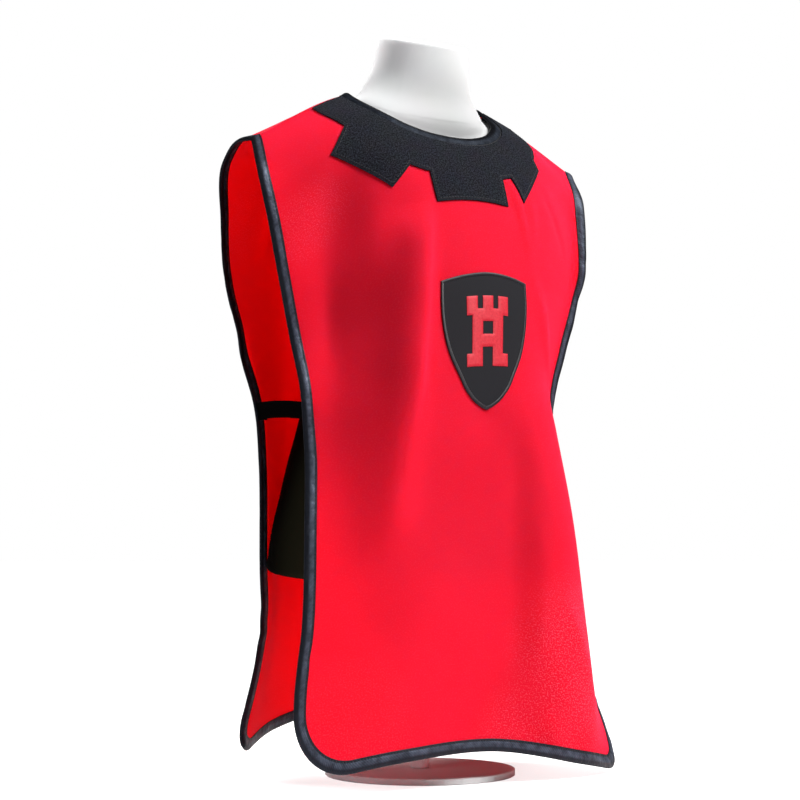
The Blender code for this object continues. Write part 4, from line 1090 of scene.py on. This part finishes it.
# Each corner of a cell counts how many cells deep it lies in the tower, up to two.
padded_cells = np.pad(tower_cells, 2)
depth_in = np.zeros(x.shape)
for reach in (1, 2):
    full = np.ones(x.shape, bool)
    for r in range(-reach, reach):
        for c in range(-reach, reach):
            full &= padded_cells[2 + r:2 + r + rows + 1, 2 + c:2 + c + columns + 1]
    depth_in += full
tower_height = on_shield + TOWER_TOP + TOWER_RISE * np.choose(depth_in.astype(int), TOWER_PADDING)
red_thread = thread("red embroidery thread", "A80C20", "FF2A40", 0.5, 0.9)
tower = laid_piece(
    "tower_embroidery", front_drape, *shield_places(x, y), tower_height, on_shield + TOWER_BOTTOM,
    red_thread, "tower_thread", tower_cells, 60.0)
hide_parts("shield_tower")

# Waist straps
# On each side a flat black elastic, 15.5 mm wide and ribbed along its length, joins the front edge
# to the back edge. Its ends are sewn inside the bindings.
STRAP_HEIGHT = 15.5
STRAP_WALL = 1.1
STRAP_LEVEL_FRONT = 325.0
STRAP_LEVEL_BACK = 327.5
# The points of a strap's sewn end lie this far inside the edge of the cloth.
STRAP_ENDS = (12.0, 6.0, 1.0)
STRAP_STEPS = 14
STRAP_BOW = 1.5
STRAP_ARCH = 1.5
STRAP_RIBS = 6
STRAP_RIB_DEPTH = 0.22
STRAP_BEHIND = CLOTH_WALL + BINDING_WALL * 1.2 + 1.25


def elastic():
    """Woven black elastic: dull rubber-filled ribs along it, with fine cross threads 1.2 mm
    apart that barely catch the light."""
    made, tree, shader = new_material("woven black elastic")
    places = add_node(tree, "UVMap", {"uv_map": "cloth"}).outputs["UV"]
    cross = add_node(tree, "TexWave", {"bands_direction": "X"}, {
        "Vector": places, "Scale": bands(1.2), "Distortion": 0.4})
    colour = add_node(tree, "Mix", {"data_type": "RGBA"}, {
        "Factor": cross.outputs["Fac"], "A": linear("020101"), "B": linear("070505")})
    bump = add_node(tree, "Bump", None, {
        "Height": cross.outputs["Fac"], "Strength": 0.5, "Distance": 0.0003})
    set_inputs(tree, shader, {
        "Base Color": colour.outputs["Result"], "Roughness": 0.85,
        "Normal": bump.outputs["Normal"], "Specular IOR Level": 0.01})
    return made


def level_on_edge(drape, side, height):
    """How far down the cloth its edge comes to a given height."""
    down = np.linspace(150, 500, 701)
    z = cloth_point(drape, side * half_width(drape, down, side), down)[:, 2]
    return float(np.interp(-height, -z, down))


def make_strap(name, side, material, node):
    """Flat strap from inside the back edge to inside the front edge at the waist."""
    rise = np.linspace(-0.5, 0.5, 4 * STRAP_RIBS + 1)
    lines = []
    for part in rise:
        line = []
        for drape, level, order in (
                (back_drape, STRAP_LEVEL_BACK, STRAP_ENDS),
                (front_drape, STRAP_LEVEL_FRONT, STRAP_ENDS[::-1])):
            height = level + LIFT - part * STRAP_HEIGHT
            down = level_on_edge(drape, side, height)
            for inset in order:
                across = np.array([side * (float(half_width(drape, down, side)) - inset)])
                point = at_height(drape, across, np.array([down]), -STRAP_BEHIND)[0]
                point[2] = height
                line.append(point)
        line = np.array(line)
        span = line[3] - line[2]
        bow = np.array([side * STRAP_BOW, 0.0, STRAP_ARCH])
        steps = np.linspace(0, 1, STRAP_STEPS)[1:-1]
        between = [line[2] + span * step + bow * math.sin(math.pi * step) for step in steps]
        lines.append(np.concatenate([line[:3], between, line[3:]]))
    spine = np.array(lines)
    normal = unit(np.cross(np.gradient(spine, axis=1), np.gradient(spine, axis=0)))
    ribs = STRAP_RIB_DEPTH * np.abs(np.sin(rise * STRAP_RIBS * math.pi))[:, None, None]
    points, faces = layer(spine + normal * ribs, spine + normal * STRAP_WALL)
    length = length_along(spine[0])
    places = np.broadcast_arrays(length[None, :], (rise * STRAP_HEIGHT)[:, None])
    places = np.stack(places, -1).reshape(-1, 2)
    strap = make_piece(name, points, faces, np.concatenate([places, places]), material)
    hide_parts(node)


black_elastic = elastic()
make_strap("strap_right_elastic", -1.0, black_elastic, "strap_right")
make_strap("strap_left_elastic", 1.0, black_elastic, "strap_left")

# Stitching
# The trims are sewn with black polyester thread: along both faces of the bindings, just inside
# their edges, and round the collar 3 mm inside its edge. The stitches are 2.3 mm long.
STITCH_LENGTH = 2.3
STITCH_PITCH = 3.2
STITCH_RADIUS = 0.28
STITCH_RAISED = 0.35
STITCH_FLATTENED = 0.8
NECK_STITCH_END = 1.54
NECK_STITCH_POINTS = 120
STITCH_THICK_PARTS = (0.22, 0.78)
STITCH_IN_FROM_EDGE = 1.3
COLLAR_STITCH_INSET = 3.0


def stitch_rows(name, rows, material):
    """Single stitches along rows of places, each a small spindle of thread lying on the cloth."""
    points = []
    faces = []
    places = []
    for drape, line, height, face in rows:
        spots, along, at = evenly(line, STITCH_PITCH)
        spots, along = spots[1:-1], along[1:-1]
        start = at_height(drape, *(spots - along * STITCH_LENGTH / 2).T, height)
        end = at_height(drape, *(spots + along * STITCH_LENGTH / 2).T, height)
        normal = cloth_normal(drape, spots[:, 0], spots[:, 1]) * face
        side = unit(np.cross(end - start, normal))
        for k in range(len(spots)):
            base = len(points)
            points.append(start[k])
            for part in STITCH_THICK_PARTS:
                middle = start[k] + (end[k] - start[k]) * part
                for turn in range(4):
                    angle = math.pi / 2 * turn
                    rise = STITCH_RAISED + STITCH_FLATTENED * math.sin(angle)
                    out = side[k] * math.cos(angle) + normal[k] * rise
                    points.append(middle + out * STITCH_RADIUS)
            points.append(end[k])
            for turn in range(4):
                after = (turn + 1) % 4
                faces.append((base, base + 1 + turn, base + 1 + after))
                faces.append((base + 1 + turn, base + 5 + turn, base + 5 + after, base + 1 + after))
                faces.append((base + 9, base + 5 + after, base + 5 + turn))
            places += [spots[k]] * 10
    return make_piece(name, np.array(points), faces, np.array(places), material, 80.0)


# Spun polyester: each stitch is a dull black thread that catches a little light.
sewing, tree, shader = new_material("black polyester sewing thread")
set_inputs(tree, shader, {"Base Color": linear("17171C"), "Roughness": 0.6})

stitch_lines = []
for drape in (front_drape, back_drape):
    edge, inward, _ = edge_line(drape)
    stitch_lines.append((drape, (edge + inward * (BINDING_WIDTH - STITCH_IN_FROM_EDGE))[3:-3]))
for drape in (front_drape, back_drape):
    angles = np.linspace(-NECK_STITCH_END, NECK_STITCH_END, NECK_STITCH_POINTS)
    across, down, lean = neck_line(drape, angles)
    line = np.stack([across, down], -1) + lean * (BINDING_WIDTH - STITCH_IN_FROM_EDGE)
    stitch_lines.append((drape, line))
binding_stitches = []
for drape, line in stitch_lines:
    binding_stitches.append((drape, line, BINDING_WALL * 0.5, 1.0))
    binding_stitches.append((drape, line, -CLOTH_WALL - BINDING_WALL * 0.5, -1.0))
binding_stitching = stitch_rows("binding_stitching", binding_stitches, sewing)

collar_outline = []
for c, (angle, number, part_across) in enumerate(collar_parts):
    before_same = c > 0 and collar_parts[c - 1][1] == number
    after_same = c + 1 < len(collar_parts) and collar_parts[c + 1][1] == number
    if number is None:
        collar_outline.append(collar_places[BAND_ROWS - 1, c])
    elif not before_same:
        collar_outline += [collar_places[BAND_ROWS - 1, c], collar_places[-1, c]]
    elif not after_same:
        collar_outline += [collar_places[-1, c], collar_places[BAND_ROWS - 1, c]]
    else:
        collar_outline.append(collar_places[-1, c])
collar_outline = np.array(collar_outline)
collar_line = collar_outline + mitre(collar_outline, False, 0.5) * COLLAR_STITCH_INSET
collar_stitches = [(front_drape, collar_line, COLLAR_GAP + FELT_WALL, 1.0)]
collar_stitching = stitch_rows("collar_stitching", collar_stitches, sewing)

# Neck and shoulders of the dress form
# The tabard hangs on a limbless child's dress form. Its neck and shoulders are moulded with a
# smooth pale grey finish. Only the neck shows above the collar.
FORM_SIDES = 128
FORM_GIRTH = 768.0
FORM_NAMES = ("height", "right", "left", "half_deep", "middle", "tilt")
NECK_ROWS = (
    (681.8, 43.4, 44.2, 40.2, -5.7, 0.22),
    (672.3, 45.3, 45.3, 41.0, -4.1, 0.20),
    (660.5, 47.5, 46.5, 41.0, -3.0, 0.25),
    (648.0, 51.8, 48.8, 41.0, -2.6, 0.30),
    (635.0, 61.1, 54.1, 42.0, -3.7, 0.35),
    (624.0, 75.3, 62.8, 45.0, -8.9, 0.40),
)
# Heights of the shoulders' levels, with how steeply each slopes down to the front.
YOKE_LEVELS = (
    (621.5, 0.40), (617.0, 0.38), (611.5, 0.35), (605.0, 0.30),
    (597.5, 0.22), (588.5, 0.12), (578.0, 0.0),
)
# Half depth and middle, front to back, of the first and the last of those levels.
YOKE_DEPTH_TOP = 45.3
YOKE_DEPTH_END = 60.0
YOKE_MIDDLE_TOP = -9.0
YOKE_MIDDLE_END = -1.0
# The flat ends of the form have rings this far inside their rounded edge.
END_INSETS = (9.0, 24.0)
NECK_EDGE_RADII = (3.5, 0.5)
NECK_LEVELS = 110
NECK_EASE = 4
SHOULDER_END = 150.0
# The form stays this far inside the cloth, and furthest where the neck binding is folded inside.
ROOM_ON_SHOULDER = 2.4
ROOM_AT_NECK = 4.7
ROOM_ON_SEAM = 1.8
ROOM_AT_SEAM_END = 4.8
ROOM_EASE = 6.0
NEAR_NECK = 16.0
NEAR_SEAM_END = 17.0
RISE_INSIDE_NECK = 1.5
RISE_STARTS = 5.0
FREE_INSIDE_NECK = 20.0
NO_LIMIT = 999.0
NEARLY_NO_LIMIT = 900.0
LEAST_REACH = 0.3
LEVEL_STEP = 2.5
ACROSS_STEP = 2.0
ROOM_HEIGHTS = np.arange(150.0, 731.0, LEVEL_STEP)
ROOM_ACROSS = np.arange(-210.0, 211.0, ACROSS_STEP)


def room_table(drape):
    """How far from the plane of the seams the form may reach under a panel, by height and by
    place across. Inside the neck opening it may rise past the cloth."""
    across = np.linspace(-1, 1, 121)
    down = np.linspace(0, drape["length"], LEVELS)
    across, down = np.meshgrid(across, down, indexing="ij")
    across = across * half_width(drape, down, across)
    neck_half = np.where(across < 0, NECK_RIGHT, NECK_LEFT)
    round_neck = np.maximum(np.hypot(across / neck_half, down / drape["drop"]), 0.001)
    steepness = np.maximum(np.hypot(across / neck_half**2, down / drape["drop"] ** 2), 0.00001)
    past_neck = (round_neck - 1) * round_neck / steepness
    near_neck = np.exp(-(np.maximum(past_neck, 0.0) / NEAR_NECK) ** 4)
    room = ROOM_ON_SHOULDER + (ROOM_AT_NECK - ROOM_ON_SHOULDER) * near_neck
    room -= RISE_INSIDE_NECK * np.clip(-past_neck - RISE_STARTS, 0.0, FREE_INSIDE_NECK - RISE_STARTS)
    free = past_neck < -FREE_INSIDE_NECK
    inside = at_height(drape, across, down, -room)
    inside[..., 1] = np.where(free, NO_LIMIT, inside[..., 1] * drape["way"])
    above = np.where(past_neck[:, 0] < -RISE_STARTS, NO_LIMIT, 0.0)
    table = []
    for height in ROOM_HEIGHTS:
        column_x = []
        column_out = []
        for column, top in zip(inside, above):
            column_x.append(float(np.interp(-height, -column[:, 2], column[:, 0])))
            column_out.append(float(np.interp(-height, -column[:, 2], column[:, 1], left=top)))
        table.append(np.interp(ROOM_ACROSS, column_x, column_out, left=NO_LIMIT, right=NO_LIMIT))
    return np.array(table)


def room_at(table, x, z):
    """The reach that a room table gives at each point."""
    r = np.clip((z - ROOM_HEIGHTS[0]) / LEVEL_STEP, 0, len(ROOM_HEIGHTS) - 1.001)
    c = np.clip((x - ROOM_ACROSS[0]) / ACROSS_STEP, 0, len(ROOM_ACROSS) - 1.001)
    row, column = r.astype(int), c.astype(int)
    above, beside = r - row, c - column
    corners = np.array([table[row + up, column + over] for up in (0, 1) for over in (0, 1)])
    lower = corners[0] * (1 - beside) + corners[1] * beside
    upper = corners[2] * (1 - beside) + corners[3] * beside
    reach = lower * (1 - above) + upper * above
    reach = np.where(corners.max(axis=0) > NEARLY_NO_LIMIT, corners.min(axis=0), reach)
    return np.maximum(reach, LEAST_REACH)


def reach_along(table, x, height, slope, way):
    """How far each point of a sloping level may go to the front or back before it meets the
    limit of a room table."""
    steps = np.arange(0.0, 131.0)[:, None]
    z = np.broadcast_to(height + slope * way * steps, (len(steps), len(x)))
    spare = room_at(table, np.broadcast_to(x, z.shape), z) - steps
    over = spare < 0
    first = np.argmax(over, axis=0)
    columns = np.arange(len(x))
    low, high = spare[first - 1, columns], spare[first, columns]
    reach = first - 1 + low / np.maximum(low - high, 1e-6)
    return np.where(over.any(axis=0), np.maximum(reach, LEAST_REACH), NO_LIMIT)


def smaller(a, b):
    """The smaller of two reaches, with an eased change from one to the other."""
    return (a + b - np.sqrt((a - b) ** 2 + ROOM_EASE**2)) / 2


def form_section(row):
    """A level of the dress form, kept clear of the cloth that hangs round it."""
    level = dict(zip(FORM_NAMES, row))
    turn = np.linspace(0, 2 * math.pi, FORM_SIDES, endpoint=False)
    x = (level["left"] - level["right"]) / 2 + (level["left"] + level["right"]) / 2 * np.cos(turn)
    full = level["middle"] + level["half_deep"] * np.sin(turn)
    height = level["height"] + LIFT
    before = smaller(-full, reach_along(room_in_front, x, height, level["tilt"], -1.0))
    behind = smaller(full, reach_along(room_behind, x, height, level["tilt"], 1.0))
    y = np.where(full < 0, -np.maximum(before, LEAST_REACH), np.maximum(behind, LEAST_REACH))
    y = np.where(np.abs(full) < LEAST_REACH, full, y)
    return np.stack([x, y, height + level["tilt"] * y], -1)


def eased(sections, reach):
    """Levels of the form softened along it, so that no crease crosses its smooth skin."""
    taps = np.exp(-(np.arange(-2 * reach, 2 * reach + 1) / reach) ** 2)
    taps /= taps.sum()
    longer = np.pad(sections, ((2 * reach, 2 * reach), (0, 0), (0, 0)), "reflect", reflect_type="odd")
    return sum(tap * longer[k:k + len(sections)] for k, tap in enumerate(taps))


def yoke_rows():
    """Levels of the shoulders, just under the shoulder seams of the cloth."""
    across = np.linspace(50, SHOULDER_END + 30, 261)
    rows = []
    for number, (height, tilt) in enumerate(YOKE_LEVELS):
        reach = []
        for side, neck in ((-1.0, NECK_RIGHT), (1.0, NECK_LEFT)):
            seam = cloth_point(front_drape, side * across, 0.0)
            lift = cloth_normal(front_drape, side * across, np.zeros(len(across)))
            near_neck = np.exp(-(np.maximum(across - neck, 0.0) / NEAR_SEAM_END) ** 4)
            below = ROOM_ON_SEAM + (ROOM_AT_SEAM_END - ROOM_ON_SEAM) * near_neck
            under = seam - lift * below[:, None]
            end = float(np.interp(-height, -under[:, 2] + LIFT, np.abs(under[:, 0])))
            reach.append(min(end, SHOULDER_END))
        part = number / (len(YOKE_LEVELS) - 1)
        deep = YOKE_DEPTH_TOP + (YOKE_DEPTH_END - YOKE_DEPTH_TOP) * part
        middle = YOKE_MIDDLE_TOP + (YOKE_MIDDLE_END - YOKE_MIDDLE_TOP) * part
        rows.append((height, *reach, deep, middle, tilt))
    return rows


def form_piece(name, sections, edge_radii, material):
    """A closed body through its levels, with a rounded edge of the given radius at each end."""
    top, bottom = sections[0], sections[-1]
    ends = []
    for ring, rise, radius in ((top, 1.0, edge_radii[0]), (bottom, -1.0, edge_radii[1])):
        way = unit(ring.mean(axis=0) - ring)
        rounded = []
        for turn in np.linspace(0, math.pi / 2, 7)[1:]:
            lift = np.array([0.0, 0.0, rise * radius * math.sin(turn)])
            rounded.append(ring + way * radius * (1 - math.cos(turn)) + lift)
        rounded += [ring + way * (radius + inset) + lift for inset in END_INSETS]
        ends.append(rounded)
    rings = np.array(ends[0][::-1] + list(sections) + ends[1])
    count, around = rings.shape[:2]
    faces = [tuple(range(around)), tuple((count - 1) * around + k for k in range(around))[::-1]]
    for r in range(count - 1):
        for c in range(around):
            after = (c + 1) % around
            below = (r + 1) * around
            faces.append((r * around + c, below + c, below + after, r * around + after))
    turn = np.tile(np.arange(around) * FORM_GIRTH / around, count)
    places = np.stack([turn, rings[..., 2].ravel()], -1)
    return make_piece(name, rings.reshape(-1, 3), faces, places, material, 60.0)


def between_rows(rows, steps):
    """Levels between the given ones, on smooth curves."""
    table = np.array(rows, float)
    at = np.linspace(0, len(rows) - 1, steps)
    return smooth_curve(np.arange(len(rows), dtype=float), table, at)


def moulded():
    """Moulded pale grey polyethylene: waxy and a little translucent, so light spreads inside it and evens
    out its shading, with very slight unevenness in its soft highlights. Its colour holds painted shade: it
    is palest at the top, and greyer lower down and on the wearer's left, the side that faces the key light."""
    made, tree, shader = new_material("moulded pale polyethylene")
    places = add_node(tree, "TexCoord").outputs["Object"]
    height = add_node(tree, "SeparateXYZ", None, {"Vector": places})
    # Painted shade: greyer lower down the neck.
    painted_height_shade = add_node(tree, "MapRange", {"interpolation_type": "SMOOTHSTEP"}, {
        "Value": height.outputs["Z"], "From Min": 0.64, "From Max": 0.685})
    shade = add_node(tree, "Mix", {"data_type": "RGBA"}, {
        "Factor": painted_height_shade.outputs["Result"], "A": linear("DADADA"), "B": linear("FFFFFF")})
    waviness = add_node(tree, "TexNoise", None, {"Vector": places, "Scale": lumps(45.45), "Detail": 2.0})
    # Painted shade: greyer on the side that faces the key light.
    towards = add_node(tree, "VectorMath", {"operation": "DOT_PRODUCT"}, {
        0: places, 1: (math.sin(math.radians(31.0)), -math.cos(math.radians(31.0)), 0.0)})
    painted_key_side_shade = add_node(tree, "MapRange", {"interpolation_type": "SMOOTHSTEP"}, {
        "Value": towards.outputs["Value"], "From Min": -0.03, "From Max": 0.055,
        "To Min": 1.0, "To Max": 0.6})
    sided = add_node(tree, "Mix", {"data_type": "RGBA", "blend_type": "MULTIPLY"}, {
        "Factor": 1.0, "A": shade.outputs["Result"], "B": painted_key_side_shade.outputs["Result"]})
    tone = add_node(tree, "Mix", {"data_type": "RGBA", "blend_type": "MULTIPLY"}, {
        "Factor": 0.04, "A": sided.outputs["Result"], "B": waviness.outputs["Color"]})
    rough = add_node(tree, "Math", {"operation": "MULTIPLY_ADD"}, {
        0: waviness.outputs["Fac"], 1: 0.15, 2: 0.5})
    bump = add_node(tree, "Bump", None, {
        "Height": waviness.outputs["Fac"], "Strength": 0.05, "Distance": 0.001})
    set_inputs(tree, shader, {
        "Base Color": tone.outputs["Result"], "Roughness": rough.outputs[0],
        "Normal": bump.outputs["Normal"], "Specular IOR Level": 0.04,
        "Subsurface Weight": 1.0, "Subsurface Radius": (1.0, 1.0, 1.0), "Subsurface Scale": 5.0 * MM})
    return made


room_in_front = room_table(front_drape)
room_behind = room_table(back_drape)
shoulder_rows = yoke_rows()
neck_levels = between_rows(list(NECK_ROWS) + shoulder_rows, NECK_LEVELS)
neck_sections = eased(np.array([form_section(level) for level in neck_levels]), NECK_EASE)
form_neck_shell = form_piece("form_neck_shell", neck_sections, NECK_EDGE_RADII, moulded())
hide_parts("form_neck")

# Body of the dress form
# The body below the shoulders is covered in a plain dark olive-black jersey, drawn tight. It shows
# only through the open sides and from below.
TORSO_ROWS = (
    (562, 150, 150, 66, -1, 0),
    (540, 147, 147, 73, -2, 0),
    (505, 136, 136, 79, -4, 0),
    (455, 124, 124, 84, -5, 0),
    (400, 119, 117, 85, -4, 0),
    (345, 122, 118, 86, -2, 0),
    (315, 128, 125, 89, -1, 0),
    (280, 138.5, 136, 94, 0, 0),
    (245, 148, 146, 98, 0, 0),
    (215, 156, 153.5, 102, 0, 0.05),
    (182.5, 160.5, 158, 105, 0, 0.09),
)
FORM_GAP = 0.3
TORSO_EDGE_RADII = (0.5, 6.0)
TORSO_LEVELS = 100
TORSO_EASE = 2


def jersey():
    """Near-black knitted jersey, with painted light and shade: a dark olive towards the front and near-black
    towards the back. Fine vertical ribs 0.8 mm apart, drawn at 1.5 mm to show, on a quite dull surface."""
    made, tree, shader = new_material("dark jersey cover")
    places = add_node(tree, "UVMap", {"uv_map": "cloth"}).outputs["UV"]
    ribs = add_node(tree, "TexWave", {"bands_direction": "X"}, {
        "Vector": places, "Scale": bands(1.5), "Distortion": 0.5, "Detail": 1.0})
    spot = add_node(tree, "TexCoord").outputs["Object"]
    depth = add_node(tree, "SeparateXYZ", None, {"Vector": spot})
    # Painted light and shade: dark olive towards the front, near-black towards the back.
    painted_front_light = add_node(tree, "MapRange", {"interpolation_type": "SMOOTHSTEP"}, {
        "Value": depth.outputs["Y"], "From Min": 0.02, "From Max": -0.055})
    painted_light_tone = add_node(tree, "Mix", {"data_type": "RGBA"}, {
        "Factor": painted_front_light.outputs["Result"], "A": linear("040201"), "B": linear("2E2D20")})
    colour = add_node(tree, "Mix", {"data_type": "RGBA", "blend_type": "MULTIPLY"}, {
        "Factor": 0.4, "A": painted_light_tone.outputs["Result"], "B": ribs.outputs["Color"]})
    bump = add_node(tree, "Bump", None, {
        "Height": ribs.outputs["Fac"], "Strength": 0.3, "Distance": 0.0003})
    set_inputs(tree, shader, {
        "Base Color": colour.outputs["Result"], "Roughness": 0.95,
        "Normal": bump.outputs["Normal"], "Specular IOR Level": 0.02})
    return made


last = shoulder_rows[-1]
torso_levels = between_rows([(last[0] - FORM_GAP, *last[1:])] + list(TORSO_ROWS), TORSO_LEVELS)
torso_sections = eased(np.array([form_section(level) for level in torso_levels]), TORSO_EASE)
form_body = form_piece("form_body_cover", torso_sections, TORSO_EDGE_RADII, jersey())
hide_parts("form_torso")

# Stand
# A steel pole rises from a round steel base into the form. Both are powder-coated in matte white.

# Powder coat on steel: matte white, with the fine orange peel, 2 mm across, of paint that is
# baked on.
powder_coat, tree, shader = new_material("matte white powder coat")
stand_places = add_node(tree, "TexCoord").outputs["Object"]
peel = add_node(tree, "TexNoise", None, {"Vector": stand_places, "Scale": lumps(2.0)})
bump = add_node(tree, "Bump", None, {"Height": peel.outputs["Fac"], "Strength": 0.08, "Distance": 0.0003})
set_inputs(tree, shader, {
    "Base Color": linear("FCFCFC"), "Roughness": 0.75,
    "Normal": bump.outputs["Normal"], "Specular IOR Level": 0.2})
for stand_name in ("stand_pole", "stand_base"):
    stand_mesh = bpy.data.objects[stand_name].data
    stand_mesh.materials.clear()
    stand_mesh.materials.append(powder_coat)

bpy.context.view_layer.update()
